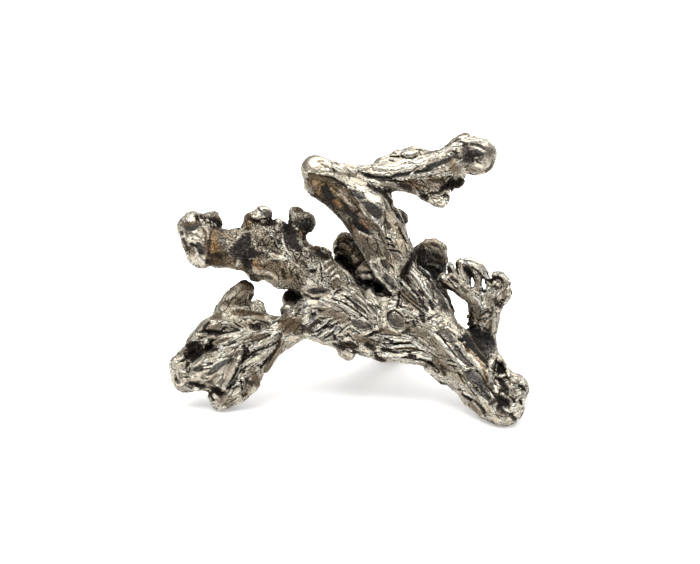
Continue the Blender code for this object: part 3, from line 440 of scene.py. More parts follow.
BLADES = [
    # the leaf of the lower-left frond, laid under its own marks
    (8.0, 0.10, 0.0, 0.15, 0, (187, 375), (243, 357)), (6.5, 0.10, 0.0, 0.10, 0, (242, 349), (222, 391)),
    # lower-left frond: long plates of the arm
    (3.2, 0.10, 0.25, 0.35, 0, (248, 340), (276, 331)), (3.0, 0.10, 0.25, 0.55, 0, (251, 349), (279, 335)),
    (2.6, 0.08, 0.10, 0.85, 0, (250, 356), (264, 350)), (2.6, 0.10, -0.20, 0.0, 0, (241, 368), (262, 356)),
    (2.4, 0.10, 0.15, 0.0, 0, (264, 350), (279, 343)), (3.0, 0.06, 0.20, 0.45, 0, (280, 332), (296, 316)),
    (3.6, 0.06, -0.20, 0.25, 0, (282, 336), (300, 322)), (3.4, 0.06, 0.10, 0.10, 0, (283, 340), (300, 337)),
    (2.4, 0.06, 0.10, 0.30, 0, (272, 356), (283, 340)), (2.4, 0.06, -0.1, 0.30, 0, (262, 372), (273, 355)),
    # its upper leaf
    (3.6, 0.12, 0.20, 0.15, 0, (212, 346), (243, 335)), (2.4, 0.10, -0.10, 0.35, 0, (216, 346), (232, 339)),
    (1.8, 0.10, 0.15, 0.0, 1, (218, 337), (242, 333)), (2.4, 0.08, 0.10, 0.30, 0, (224, 347), (244, 341)),
    (1.2, 0.10, 0.0, 0.0, 1, (221, 349), (237, 344)),
    # the leaf
    (3.2, 0.10, 0.10, 0.0, 1, (203, 362), (224, 352)), (2.4, 0.08, 0.10, 0.30, 0, (206, 357), (219, 352)),
    (3.8, 0.06, -0.10, 0.30, 0, (232, 364), (243, 350)), (3.0, 0.05, -0.10, 0.10, 0, (226, 384), (235, 362)),
    (3.4, 0.06, 0.10, 0.15, 0, (206, 381), (220, 371)), (3.0, 0.06, 0.0, 0.20, 0, (190, 377), (204, 381)),
    (2.6, 0.08, 0.10, 0.0, 0, (211, 386), (222, 376)),
    # lobe and cap
    (3.2, 0.06, 0.1, 0.15, 0, (232, 396), (242, 384)), (3.0, 0.06, -0.1, 0.35, 0, (246, 388), (256, 374)),
    (3.2, 0.06, -0.1, 0.10, 0, (246, 398), (258, 384)), (3.4, 0.06, 0.1, 0.15, 0, (174, 368), (188, 364)),
    (3.2, 0.06, 0.1, 0.0, 0, (176, 386), (188, 378)), (2.6, 0.08, 0.0, 0.0, 1, (181, 372), (188, 375)),
    # body above the slot
    (3.8, 0.08, 0.15, 0.35, 0, (208, 330), (221, 324)), (3.2, 0.08, 0.2, 0.45, 0, (211, 320), (221, 314)),
    (3.0, 0.06, 0.1, 0.10, 0, (226, 330), (244, 331)), (2.4, 0.07, 0.1, 0.10, 0, (230, 322), (246, 330)),
    (3.2, 0.05, 0.1, 0.05, 0, (196, 334), (210, 320)),
    # finger
    (4.0, 0.06, 0.1, 0.30, 0, (226, 300), (236, 289)), (4.4, 0.06, -0.1, 0.35, 0, (236, 303), (247, 290)),
    # hub: feather of blades that close towards the right
    (2.8, 0.08, -0.25, 0.75, 0, (322, 303), (350, 313)), (2.6, 0.10, -0.20, 0.30, 0, (336, 300), (368, 318)),
    (2.6, 0.08, 0.20, 0.90, 0, (345, 299), (360, 312)), (2.2, 0.10, -0.20, 0.25, 0, (352, 302), (374, 317)),
    (3.2, 0.08, -0.15, 0.70, 0, (350, 293), (369, 305)), (3.8, 0.08, 0.15, 0.75, 0, (366, 303), (378, 318)),
    (3.0, 0.07, 0.10, 0.30, 0, (335, 296), (349, 297)), (5.2, 0.05, 0.05, 0.95, 0, (351, 322), (373, 327)),
    (2.6, 0.09, 0.20, 0.65, 0, (368, 320), (382, 325)), (3.2, 0.08, 0.10, 0.10, 0, (322, 299), (334, 295)),
    # hub: left-hand lump and fan
    (3.2, 0.10, 0.10, 0.0, 0, (303, 312), (320, 307)), (4.0, 0.08, -0.10, 0.0, 0, (303, 324), (311, 312)),
    (3.0, 0.07, 0.10, 0.35, 0, (314, 319), (330, 313)), (3.2, 0.06, 0.0, 0.85, 0, (331, 310), (337, 319)),
    (3.0, 0.07, 0.10, 0.10, 0, (336, 313), (350, 318)), (1.8, 0.10, 0.20, 0.0, 1, (317, 329), (330, 320)),
    (1.8, 0.10, 0.20, 0.0, 1, (322, 331), (338, 324)), (2.2, 0.10, -0.2, 0.85, 0, (310, 327), (320, 319)),
    (1.8, 0.10, 0.20, 0.10, 1, (318, 338), (330, 329)), (1.8, 0.10, 0.20, 0.10, 1, (324, 340), (341, 329)),
    (2.2, 0.08, 0.20, 0.15, 0, (330, 324), (348, 318)), (2.0, 0.10, 0.10, 0.10, 1, (340, 332), (352, 324)),
    (2.0, 0.10, -0.10, 0.10, 1, (350, 325), (361, 332)), (2.6, 0.08, 0.0, 0.05, 0, (344, 339), (352, 339)),
    (3.0, 0.06, 0.10, 0.10, 0, (306, 337), (322, 341)), (3.0, 0.06, 0.10, 0.15, 0, (324, 343), (338, 342)),
    (3.2, 0.06, -0.1, 0.45, 0, (356, 336), (370, 341)), (3.0, 0.06, 0.1, 0.10, 0, (358, 348), (372, 352)),
    # hub: smooth blades beside the black hole
    (3.6, 0.06, 0.1, 0.05, 0, (378, 301), (392, 297)), (3.2, 0.06, -0.1, 0.1, 0, (388, 308), (398, 298)), (2.8, 0.06, 0.0, 0.1, 0, (379, 310), (380, 327)),
    # hub: right-hand facets
    (5.6, 0.10, 0.05, 0.92, 0, (389, 314), (402, 328)), (3.6, 0.08, 0.10, 0.60, 0, (396, 311), (405, 321)),
    (2.8, 0.09, -0.2, 0.10, 0, (400, 281), (418, 299)), (2.6, 0.09, -0.2, 0.20, 0, (400, 290), (422, 309)),
    (2.6, 0.09, -0.2, 0.30, 0, (410, 284), (422, 296)), (2.4, 0.09, -0.2, 0.15, 0, (408, 305), (422, 314)),
    (1.8, 0.12, 0.1, 0.0, 1, (400, 309), (419, 316)), (3.6, 0.12, 0.15, 0.0, 0, (408, 267), (430, 296)),
    (3.2, 0.06, 0.10, 0.55, 0, (402, 333), (412, 328)), (3.6, 0.06, 0.10, 0.20, 0, (383, 329), (400, 334)),
    (3.0, 0.06, 0.10, 0.20, 0, (414, 326), (428, 336)), (2.6, 0.06, 0.1, 0.0, 0, (433, 323), (447, 312)), (2.4, 0.06, -0.1, 0.1, 0, (438, 328), (452, 317)),
    # hub: lower straps
    (2.4, 0.12, 0.15, 0.0, 0, (383, 337), (412, 340)), (2.0, 0.10, 0.15, 0.0, 0, (392, 346), (420, 347)),
    (2.2, 0.10, -0.15, 0.10, 0, (412, 340), (427, 351)), (2.4, 0.10, 0.15, 0.0, 0, (384, 354), (412, 354)),
    (2.2, 0.10, 0.15, 0.0, 0, (408, 352), (432, 359)), (2.2, 0.05, 0.10, 0.20, 0, (398, 360), (430, 364)),
    # right leg
    (2.6, 0.12, 0.20, 0.0, 0, (431, 331), (457, 358)), (3.6, 0.07, -0.10, 0.95, 0, (439, 329), (454, 343)),
    (3.4, 0.07, -0.10, 0.90, 0, (453, 346), (471, 366)), (2.2, 0.09, 0.15, 0.20, 0, (440, 346), (462, 362)),
    (2.0, 0.10, 0.15, 0.0, 1, (456, 358), (468, 371)), (5.6, 0.06, -0.08, 0.95, 0, (466, 369), (485, 388)),
    (3.4, 0.06, -0.08, 0.90, 0, (481, 389), (491, 401)), (3.6, 0.08, 0.15, 0.05, 0, (462, 345), (484, 371)),
    (3.0, 0.08, 0.15, 0.15, 0, (430, 336), (446, 356)), (3.2, 0.07, 0.15, 0.25, 0, (438, 358), (456, 372)),
    (2.4, 0.08, 0.10, 0.0, 1, (447, 362.5), (457, 365)), (3.4, 0.08, 0.15, 0.10, 0, (450, 372), (468, 386)),
    (3.0, 0.08, 0.15, 0.0, 0, (466, 384), (482, 402)), (3.4, 0.08, 0.15, 0.0, 0, (478, 396), (496, 414)),
    (2.6, 0.07, 0.10, 0.20, 0, (470, 400), (486, 417)), (3.0, 0.07, 0.10, 0.10, 0, (428, 367), (448, 378)),
    (3.0, 0.06, 0.10, 0.15, 0, (446, 380), (462, 391)), (3.2, 0.06, 0.10, 0.10, 0, (486, 416), (504, 421)),
    (3.0, 0.06, 0.0, 0.85, 0, (489, 373), (492, 389)), (4.0, 0.08, 0.10, 0.0, 0, (490, 357), (492, 368)),
    (3.0, 0.08, 0.10, 0.10, 0, (510, 378), (518, 386)), (2.6, 0.08, 0.10, 0.35, 0, (509, 392), (517, 391)),
    (3.0, 0.08, 0.10, 0.0, 0, (509, 409), (519, 404)), (3.0, 0.05, 0.0, 0.1, 0, (502, 423), (520, 410)),
    # black hollow's facets beside the leg
    (4.0, 0.06, 0.10, 0.0, 0, (466, 341), (478, 352)), (3.6, 0.06, 0.10, 0.0, 0, (482, 353), (494, 351)),
    # right frond
    (2.4, 0.10, 0.1, 0.25, 0, (441, 279), (460, 293)), (2.0, 0.08, 0.1, 0.0, 1, (441, 277), (452, 283)),
    (2.0, 0.09, 0.1, 0.10, 0, (449, 265), (463, 280)), (2.0, 0.09, 0.1, 0.20, 0, (450, 275), (463, 286)),
    (2.6, 0.08, 0.0, 0.05, 0, (461, 264), (467, 284)), (2.2, 0.08, 0.1, 0.0, 0, (466, 262), (482, 270)),
    (2.4, 0.07, 0.0, 0.55, 0, (477, 277), (478, 291)), (2.2, 0.08, 0.0, 0.0, 1, (486, 275), (490, 286)),
    (4.0, 0.07, 0.1, 0.0, 0, (479, 306), (490, 304)), (3.4, 0.07, 0.1, 0.25, 0, (462, 292), (474, 304)),
    (3.4, 0.07, 0.1, 0.10, 0, (472, 296), (484, 312)), (1.8, 0.10, 0.1, 0.0, 1, (480, 319), (492, 313)),
    (3.0, 0.07, 0.1, 0.65, 0, (480, 316), (488, 310)), (3.0, 0.07, 0.1, 0.30, 0, (483, 331), (492, 318)),
    (3.4, 0.06, 0.1, 0.20, 0, (486, 300), (496, 290)), (2.4, 0.08, 0.1, 0.15, 0, (496, 278), (506, 286)),
    (3.2, 0.06, 0.1, 0.20, 0, (496, 304), (506, 292)), (3.0, 0.07, 0.1, 0.15, 0, (470, 310), (476, 322)),
    # rear knob
    (4.2, 0.06, 0.1, 0.3, 0, (424, 243), (441, 244)), (4.0, 0.07, 0.1, 0.6, 0, (428, 256), (444, 262)),
    (4.0, 0.07, 0.1, 0.7, 0, (415, 268), (432, 278)), (5.0, 0.04, 0.0, 0.6, 0, (431, 279), (443, 292)),
    (5.6, 0.04, 0.0, 0.6, 0, (433, 290), (450, 308)), (3.6, 0.07, 0.1, 0.6, 0, (411, 256), (426, 266)),
    # rear spur
    (2.8, 0.08, 0.1, 0.2, 0, (338, 244), (348, 240)), (3.2, 0.08, 0.1, 0.3, 0, (341, 252), (352, 262)),
]
# half width, depth, darkness of the painted reflection, ends
LENSES = [
    # lower-left frond's leaf
    (3.6, 0.06, 1.0, (191, 369), (203, 368)), (2.4, 0.05, 0.9, (201, 366), (214, 363)), (4.6, 0.07, 1.0, (208, 374), (232, 358)),
    (3.2, 0.04, 0.7, (233, 357), (243, 351)), (2.2, 0.04, 0.9, (219, 385), (224, 379)), (1.6, 0.04, 0.8, (213, 378), (218, 374)),
    # hub
    (3.0, 0.04, 0.8, (401, 302), (410, 302)), (3.4, 0.04, 0.6, (490, 385), (496, 388)),
    # left branch
    (5.0, 0.05, 0.90, (183, 226), (199, 229)), (4.6, 0.07, 0.95, (197, 241), (205, 255)),
    (3.0, 0.03, 0.0, (197, 230), (207, 238)), (3.6, 0.06, 0.85, (262, 209), (271, 218)),
    (6.2, 0.09, 0.95, (302, 291), (332, 291)), (4.0, 0.04, 0.8, (219, 238), (227, 246)),
    # mast
    (4.4, 0.05, 0.95, (349, 191), (369, 198)), (5.0, 0.0, 0.0, (364, 193), (382, 202)),
    (6.6, 0.07, 1.0, (361, 202), (384, 219)), (3.6, 0.08, 1.0, (352, 221), (371, 235)),
    (4.6, 0.05, 0.75, (381, 271), (397, 289)), (3.0, 0.04, 0.7, (371, 262), (382, 272)),
    (3.4, 0.04, 0.8, (380, 258), (390, 270)), (3.4, 0.04, 0.75, (390, 249), (402, 262)),
    (3.2, 0.03, 0.55, (386, 221), (391, 230)), (2.2, 0.04, 0.6, (394, 216), (401, 221)),
    # top arm
    (3.6, 0.05, 0.75, (426, 168), (452, 158)), (2.6, 0.05, 0.75, (396, 176), (414, 172)),
    (2.4, 0.05, 0.7, (412, 173), (432, 171)), (2.4, 0.05, 0.7, (366, 174), (384, 178)),
    (9.0, 0.05, 0.75, (464, 157), (484, 156)), (2.6, 0.04, 0.6, (463, 145), (470, 149)),
    (2.6, 0.05, 0.65, (450, 153), (459, 159)), (4.0, -0.02, 0.0, (403, 152), (418, 152)),
]
# paint, strength, half width, line; besides stains, the marks lay painted shadow, painted shade, painted highlights and
# painted dark reflections
STAINS_AND_PAINTED_LIGHT = [
    # left branch
    ("grey", 1.0, 5, (186, 225), (191, 226), (198, 224)), ("soot", 0.6, 3.5, (188, 224), (196, 223)), ("grey", 0.9, 3, (184, 231), (193, 236)),
    ("soot", 0.85, 3.4, (199, 243), (201, 253)), ("grey", 0.9, 3, (191, 245), (195, 251)), ("silver", 0.9, 4, (190, 215), (192, 220)), ("silver", 1.0, 3, (198, 232), (204, 236)),
    ("silver", 0.9, 2, (191, 239), (200, 241), (204, 245)), ("cream", 0.5, 5, (195, 259), (202, 264)),
    ("umber", 1.0, 2.4, (192, 244), (196, 246)), ("umber", 0.9, 2.2, (196, 216), (197, 219)),
    ("umber", 0.9, 2.0, (181, 232), (182, 234)), ("grey", 0.35, 3.0, (180, 222), (179, 236), (184, 252)), ("grey", 0.3, 5, (194, 236), (202, 246)), ("cream", 0.5, 1.6, (191, 266), (199, 269), (205, 264)), ("umber", 0.8, 1.8, (183, 239), (186, 243), (187, 250)),
    ("brown", 0.6, 3, (184, 224), (195, 223)), ("brown", 0.5, 3, (187, 247), (193, 254)),
    ("cream", 0.7, 4, (206, 214), (213, 213)), ("umber", 1.0, 2.6, (201, 216), (205, 218)),
    ("umber", 1.0, 3.0, (207, 222), (213, 221), (217, 222)), ("soot", 0.9, 4.5, (218, 224), (222, 230)),
    ("grey", 0.6, 4, (205, 213), (213, 213)), ("umber", 0.97, 3.2, (205, 219), (213, 219.5)), ("soot", 0.95, 4, (216, 220), (220, 228)), ("cream", 0.95, 1.3, (207, 219.5), (207.6, 220.5)), ("cream", 0.9, 1.2, (211.5, 222), (212, 222.8)), ("cream", 0.85, 1.1, (215, 225.5), (215.5, 226)), ("tan", 0.7, 1.2, (203, 216), (203.5, 217)), ("brown", 0.6, 1.6, (216, 216), (219, 219)),
    ("brown", 0.8, 8, (209, 234), (212, 262)), ("brown", 0.6, 8, (216, 246), (222, 258)),
    ("umber", 0.75, 4, (212, 255), (219, 255), (226, 255)), ("grey", 0.9, 4.5, (221, 240), (224, 244)),
    ("umber", 0.8, 3.0, (208, 262), (230, 265), (246, 271)), ("brown", 0.7, 7, (218, 260), (246, 266)),
    ("cream", 0.5, 3, (228, 243), (237, 237), (243, 231)), ("brown", 0.35, 6, (214, 232), (236, 233)),
    ("brown", 0.45, 9, (216, 236), (222, 250), (222, 262)), ("brown", 0.35, 9, (236, 262), (250, 270), (266, 268)),
    ("ochre", 0.95, 5.0, (213.5, 237), (215, 243), (214.5, 250)), ("tan", 0.6, 3.0, (211.5, 235), (214.5, 240)), ("rust", 0.5, 2.0, (214, 244), (216, 249)),
    ("umber", 0.9, 2.6, (216, 254), (220, 257)), ("brown", 0.6, 2.0, (209.5, 231), (209.5, 246)), ("cream", 0.7, 1.8, (204, 225), (208, 232), (208.5, 238)),
    ("grey", 0.9, 4.0, (221, 240), (225, 244)), ("tan", 0.55, 5, (228, 262), (240, 267)), ("tan", 0.5, 3.0, (226, 236), (234, 240), (232, 246)),
    ("soot", 0.97, 9, (241, 244), (248, 241)), ("soot", 0.97, 8, (235, 252), (245, 255), (252, 253)),
    ("soot", 0.95, 6, (246, 262), (250, 265)), ("soot", 0.9, 4.5, (252, 254), (262, 254), (268, 253)),
    ("soot", 0.9, 5, (246, 234), (251, 237)), ("cream", 0.8, 1.6, (236, 240), (243, 232), (251, 231)),
    ("cream", 0.95, 3.8, (238, 263), (239, 264)), ("ochre", 0.6, 5, (256, 262), (257, 268)),
    ("cream", 0.7, 3, (255, 269), (258, 272)), ("umber", 0.9, 4.5, (253, 278), (256, 281)),
    ("umber", 0.7, 2.5, (262, 276), (272, 277)), ("silver", 0.7, 2.0, (262, 271), (270, 272), (278, 278)),
    ("silver", 0.9, 2.0, (263, 206), (269, 207)), ("grey", 0.5, 3.4, (266, 212), (271, 216)), ("brown", 0.7, 3.6, (247, 213), (250, 218)), ("umber", 0.8, 1.0, (258, 208), (262, 212)), ("silver", 0.95, 2.2, (254, 217), (262, 216)),
    ("umber", 1.0, 2.6, (249, 219), (256, 221), (260, 223)), ("umber", 0.9, 1.4, (261, 219), (267, 219)),
    ("brown", 0.6, 3.5, (247, 214), (247, 224)), ("ochre", 0.5, 3, (247, 226), (250, 222)),
    ("brown", 0.45, 9, (256, 232), (266, 244), (276, 250)), ("grey", 0.6, 6.5, (276, 227), (278, 237)),
    ("umber", 0.8, 2.0, (262, 225), (270, 224), (276, 224)), ("cream", 0.5, 5, (256, 228), (262, 236)),
    ("umber", 1.0, 1.7, (270, 238), (272, 239)), ("umber", 1.0, 1.8, (274, 243), (277, 248)),
    ("umber", 1.0, 1.3, (277, 241), (281, 244)), ("silver", 1.0, 1.6, (277, 243), (279, 246)),
    ("silver", 0.9, 3, (266, 251), (273, 256)), ("silver", 0.9, 2.6, (274, 259), (284, 256)),
    ("silver", 0.8, 2.6, (288, 259), (294, 263)), ("cream", 0.8, 1.6, (281, 222), (284, 232), (283, 240), (286, 248), (289, 252)),
    ("cream", 0.5, 2.5, (252, 232), (254, 245), (259, 250)), ("umber", 0.5, 2.0, (262, 240), (266, 246)),
    ("soot", 0.97, 7.5, (291, 232), (293, 244)), ("soot", 0.95, 7, (299, 222), (308, 222)),
    ("soot", 0.9, 5, (303, 228), (309, 230)), ("soot", 0.9, 5, (284, 228), (289, 240), (299, 249)),
    ("cream", 0.9, 2.2, (291, 213), (295, 214)), ("cream", 0.8, 1.7, (299, 215), (303, 213)),
    ("brown", 0.8, 4, (295, 209), (300, 210)), ("rust", 0.65, 3.4, (301, 232), (302, 236)),
    ("umber", 0.8, 3, (305, 238), (306, 246)), ("umber", 0.97, 6.5, (315, 250), (326, 256)), ("brown", 0.7, 1.6, (317, 247), (320, 248)), ("tan", 0.5, 1.4, (324, 252), (326, 253)), ("umber", 1.0, 1.8, (321, 250), (322, 256)),
    ("brown", 0.7, 4, (312, 247), (316, 247)), ("grey", 0.7, 5.5, (304, 254), (311, 259)),
    ("umber", 0.8, 3, (303, 263), (306, 268)), ("umber", 1.0, 3.2, (311, 271), (316, 271)),
    ("silver", 0.9, 2.6, (311, 275), (309, 283)), ("cream", 0.6, 3, (319, 262), (318, 272), (315, 284)),
    ("brown", 0.6, 8, (330, 262), (334, 274), (338, 282)), ("brown", 0.55, 11, (272, 266), (288, 274), (296, 284)),
    ("umber", 0.6, 3.6, (284, 271), (285, 277)), ("umber", 0.5, 5, (266, 266), (276, 266)),
    ("silver", 0.8, 1.7, (309, 268), (316, 267)), ("silver", 0.9, 1.7, (325, 263), (331, 260)),
    ("silver", 0.9, 1.7, (326, 271), (333, 266)), ("silver", 0.9, 1.7, (330, 275), (336, 270)),
    ("silver", 0.9, 1.8, (331, 280), (337, 276), (341, 279)), ("brown", 0.5, 7, (296, 262), (304, 274)),
    ("silver", 0.5, 6, (292, 262), (303, 272)), ("umber", 0.95, 8, (290, 296), (297, 297)),
    ("tan", 0.65, 9, (262, 262), (276, 266), (290, 276)), ("tan", 0.5, 6, (262, 274), (276, 279)), ("umber", 0.8, 2.4, (282, 270), (285, 277)), ("umber", 0.7, 1.6, (268, 258), (277, 262)),
    ("umber", 0.8, 1.4, (290, 270), (292, 275)), ("umber", 0.8, 1.3, (296, 274), (298, 279)), ("cream", 0.8, 1.6, (262, 271), (270, 273), (278, 279), (283, 285)), ("cream", 0.6, 1.5, (262, 262), (272, 258), (284, 260)),
    ("ochre", 0.5, 3.0, (255, 262), (258, 270)), ("cream", 0.6, 1.6, (254, 268), (259, 272)),
    ("silver", 0.95, 2.2, (303, 289), (314, 286), (324, 285), (331, 290)), ("silver", 0.95, 2.2, (304, 292), (314, 297), (326, 294)),
    # spur behind
    ("brown", 0.75, 12, (346, 240), (352, 254), (362, 262)), ("cream", 0.35, 5, (342, 238), (350, 246), (356, 258)),
    ("brown", 0.5, 6, (337, 240), (346, 236)), ("umber", 0.8, 3, (352, 239), (357, 244)),
    # mast
    ("silver", 1.0, 11, (316, 163), (322, 166)), ("silver", 0.9, 5, (338, 169), (342, 175)),
    ("grey", 0.55, 3.4, (302, 160), (300, 170), (303, 181)), ("cream", 0.5, 7, (345, 172), (356, 178)), ("brown", 0.45, 1.6, (318, 161), (323, 161.5)),
    ("umber", 0.9, 2.4, (309, 174), (316, 176), (331, 178), (344, 185), (349, 190)), ("brown", 0.85, 6, (313, 178), (326, 182), (340, 190)), ("umber", 0.9, 4, (313, 196), (326, 206), (338, 217), (350, 232), (356, 244)), ("umber", 0.7, 5, (322, 187), (334, 199), (348, 212)), ("brown", 0.8, 2.4, (346, 188), (353, 200), (362, 212), (372, 224), (382, 234), (386, 246), (388, 258)), ("brown", 0.75, 9, (314, 184), (324, 194), (338, 204)),
    ("brown", 0.7, 9, (342, 200), (354, 214), (366, 228)), ("brown", 0.55, 9, (352, 226), (362, 240), (372, 252)),
    ("umber", 0.6, 5, (316, 197), (330, 204), (342, 216), (352, 228)), ("umber", 0.8, 5, (325, 186), (330, 198)),
    ("soot", 0.9, 3.5, (327, 192), (331, 197)), ("soot", 0.7, 3.5, (333, 198), (340, 202)),
    ("soot", 0.85, 4, (345, 206), (350, 212), (357, 218)), ("ochre", 0.7, 3.8, (314, 183), (318, 186), (319, 192)), ("tan", 0.7, 2.8, (314, 183), (317, 188)), ("soot", 0.8, 3.0, (323, 189), (327, 197), (331, 203)),
    ("ochre", 0.5, 2.4, (319, 182), (323, 184)), ("ochre", 0.5, 2.2, (332, 189), (336, 192)),
    ("ochre", 0.7, 2.6, (337, 200), (341, 206)), ("rust", 0.5, 1.8, (334, 201), (337, 203)),
    ("rust", 0.5, 2.0, (363, 222), (368, 228)), ("rust", 0.35, 2.0, (352, 227), (356, 231)),
    ("soot", 1.0, 4.4, (354, 222), (361, 227), (368, 233)), ("silver", 0.9, 1.5, (360, 232), (365, 235), (369, 236)),
    ("umber", 0.9, 1.8, (356, 211), (358, 212)), ("umber", 0.8, 1.4, (367, 239), (368, 243)),
    ("cream", 0.5, 3, (340, 192), (350, 204)), ("grey", 0.7, 8, (366, 246), (376, 250), (384, 256)),
    ("brown", 0.35, 8, (364, 240), (378, 246), (388, 262)), ("grey", 0.4, 6, (374, 232), (384, 246)),
    ("silver", 1.0, 4.2, (369, 196), (377, 200)), ("cream", 0.4, 3, (381, 200), (385, 206)), ("silver", 0.9, 3, (349, 186), (360, 189), (370, 190)),
    ("slate", 0.9, 4.5, (352, 193), (362, 197)), ("soot", 0.7, 7, (367, 207), (378, 213)),
    ("silver", 0.9, 2.2, (361, 205), (366, 214), (376, 221)), ("silver", 0.8, 2, (384, 205), (384, 215), (381, 224)),
    ("cream", 0.55, 5, (388, 212), (394, 222)), ("umber", 0.7, 3, (386, 222), (389, 228)),
    ("silver", 0.8, 2.4, (382, 228), (386, 233)), ("silver", 0.8, 4, (394, 233), (401, 242)),
    ("cream", 0.5, 4, (400, 244), (404, 252)), ("tan", 0.6, 6, (389, 212), (394, 224), (400, 232)), ("tan", 0.45, 6, (401, 240), (404, 252)), ("tan", 0.5, 5, (394, 256), (396, 270)),
    ("umber", 0.7, 2.2, (384, 212), (386, 222)), ("grey", 0.6, 3.6, (392, 243), (395, 256)), ("umber", 0.9, 1.4, (386, 238), (391, 240)),
    ("umber", 0.9, 1.4, (388, 244), (394, 246)), ("umber", 0.9, 1.4, (390, 250), (397, 251)),
    ("umber", 0.9, 1.6, (399, 229), (404, 238), (408, 243)), ("umber", 1.0, 2.0, (382, 257), (384, 260)),
    ("cream", 0.6, 4, (396, 264), (398, 274)), ("silver", 0.7, 2, (380, 264), (378, 259), (384, 258)),
    ("silver", 0.8, 2.0, (371, 262), (377, 272), (386, 284), (394, 292)), ("brown", 0.6, 4, (402, 268), (402, 276)),
    ("umber", 0.95, 3, (404, 272), (408, 262)), ("silver", 0.8, 3.0, (364, 276), (370, 278)),
    ("cream", 0.5, 4, (362, 270), (370, 272)), ("umber", 0.9, 5, (384, 195), (390, 204), (392, 208)),
    ("soot", 0.85, 5, (401, 215), (405, 222)), ("cream", 0.4, 1.2, (407, 214), (408, 220)), ("umber", 0.95, 2.2, (391, 196), (392, 206), (396, 212), (399, 222)), ("umber", 0.8, 1.6, (396, 224), (402, 229)), ("cream", 0.6, 2.6, (389, 214), (394, 222)),
    # top arm
    ("silver", 1.0, 9, (378, 163), (396, 162), (414, 158)), ("silver", 1.0, 6, (376, 170), (394, 172), (408, 169), (424, 162)),
    ("silver", 1.0, 6, (436, 156), (448, 149), (458, 146)), ("silver", 1.0, 7, (462, 139), (480, 142)),
    ("silver", 0.8, 4, (372, 183), (388, 183)), ("cream", 0.45, 5, (384, 158), (398, 160)),
    ("umber", 1.0, 1.8, (359, 172), (368, 176), (380, 180), (400, 181), (409, 181)),
    ("grey", 1.0, 2.8, (360, 173), (370, 177), (382, 179), (390, 178), (397, 175), (410, 173), (425, 170), (438, 166)), ("soot", 0.6, 1.6, (362, 173), (374, 177), (390, 178), (397, 175), (410, 173), (426, 170)),
    ("umber", 0.5, 1.4, (366, 175), (376, 178), (390, 178), (396, 175)),
    ("soot", 0.7, 3.4, (428, 167), (440, 163), (451, 159)), ("soot", 0.6, 2.4, (398, 175.5), (406, 174.5), (413, 172)), ("soot", 0.6, 2.2, (415, 172), (424, 171), (431, 170)),
    ("soot", 0.6, 2.4, (366, 175), (376, 177), (384, 178)), ("silver", 1.0, 1.3, (372, 171), (386, 172.5), (398, 171), (410, 168)), ("silver", 0.9, 1.2, (400, 178.5), (412, 176), (424, 173.5), (436, 171)),
    ("silver", 0.9, 1.1, (410, 176), (414, 170), (419, 165)), ("soot", 0.5, 2.0, (381, 182), (390, 185), (397, 187)), ("umber", 0.9, 2.6, (368, 186), (376, 190), (384, 192)),
    ("umber", 1.0, 1.3, (401, 156), (406, 159), (412, 159), (417, 157)), ("umber", 0.8, 1.0, (390, 156), (399, 156)),
    ("umber", 0.7, 1.0, (389, 160), (395, 161)), ("umber", 0.8, 1.0, (412, 171), (418, 166)),
    ("brown", 0.5, 8, (412, 186), (426, 184), (438, 184)), ("ochre", 0.25, 3, (414, 186), (422, 188)),
    ("ochre", 0.22, 3, (430, 178), (446, 178)), ("cream", 0.5, 4, (434, 184), (440, 184)),
    ("umber", 1.0, 5, (443, 188), (451, 183), (460, 181)), ("umber", 0.95, 3.5, (423, 196), (427, 198)),
    ("umber", 0.8, 3, (452, 188), (462, 184)), ("umber", 0.8, 2.0, (430, 193), (438, 193), (444, 189)),
    ("umber", 0.9, 2.5, (445, 195), (448, 197)), ("silver", 0.8, 2.6, (434, 203), (444, 200), (447, 201)),
    ("brown", 0.6, 4, (404, 184), (414, 182)), ("umber", 0.7, 4, (402, 185), (410, 188)),
    ("brown", 0.4, 5, (452, 166), (458, 170)), ("ochre", 0.4, 3, (452, 160), (453, 168)),
    ("umber", 1.0, 1.6, (461, 142), (467, 144)), ("umber", 0.9, 2.4, (464, 146), (468, 148)),
    ("umber", 1.0, 1.6, (453, 151), (457, 153)), ("umber", 0.8, 1.4, (471, 144), (480, 145), (486, 150)),
    ("soot", 0.9, 8, (467, 157), (474, 158)), ("soot", 0.6, 4, (464, 151), (470, 150)), ("umber", 1.0, 1.8, (475, 156), (476, 158)),
    ("grey", 0.6, 6, (481, 152), (484, 161)), ("grey", 0.6, 5, (490, 146), (493, 160)), ("grey", 0.4, 6, (468, 146), (482, 146)), ("soot", 0.75, 5, (470, 153), (478, 153)), ("umber", 0.8, 1.4, (466, 155), (472, 158), (474, 165)), ("grey", 0.8, 1.4, (473, 152.5), (479, 151), (484, 154)), ("silver", 0.7, 0.8, (470, 149.5), (478, 148), (486, 151)), ("silver", 0.7, 0.9, (475, 158), (482, 157)), ("umber", 0.9, 1.1, (476, 161), (480, 164)), ("silver", 0.7, 1.6, (479, 148), (485, 153), (487, 162)), ("umber", 0.7, 1.2, (476, 152), (480, 158)),
    ("umber", 0.6, 2.4, (454, 156), (460, 158)), ("brown", 0.5, 4, (468, 168), (476, 170)),
    ("silver", 0.8, 3, (475, 164), (482, 168)), ("umber", 0.7, 1.2, (486, 171), (491, 167), (493, 160)),
    # lower-left frond
    ("brown", 0.5, 4, (245, 284), (250, 288)), ("brown", 0.6, 6, (226, 304), (240, 303)), ("brown", 0.35, 8, (234, 292), (246, 296)),
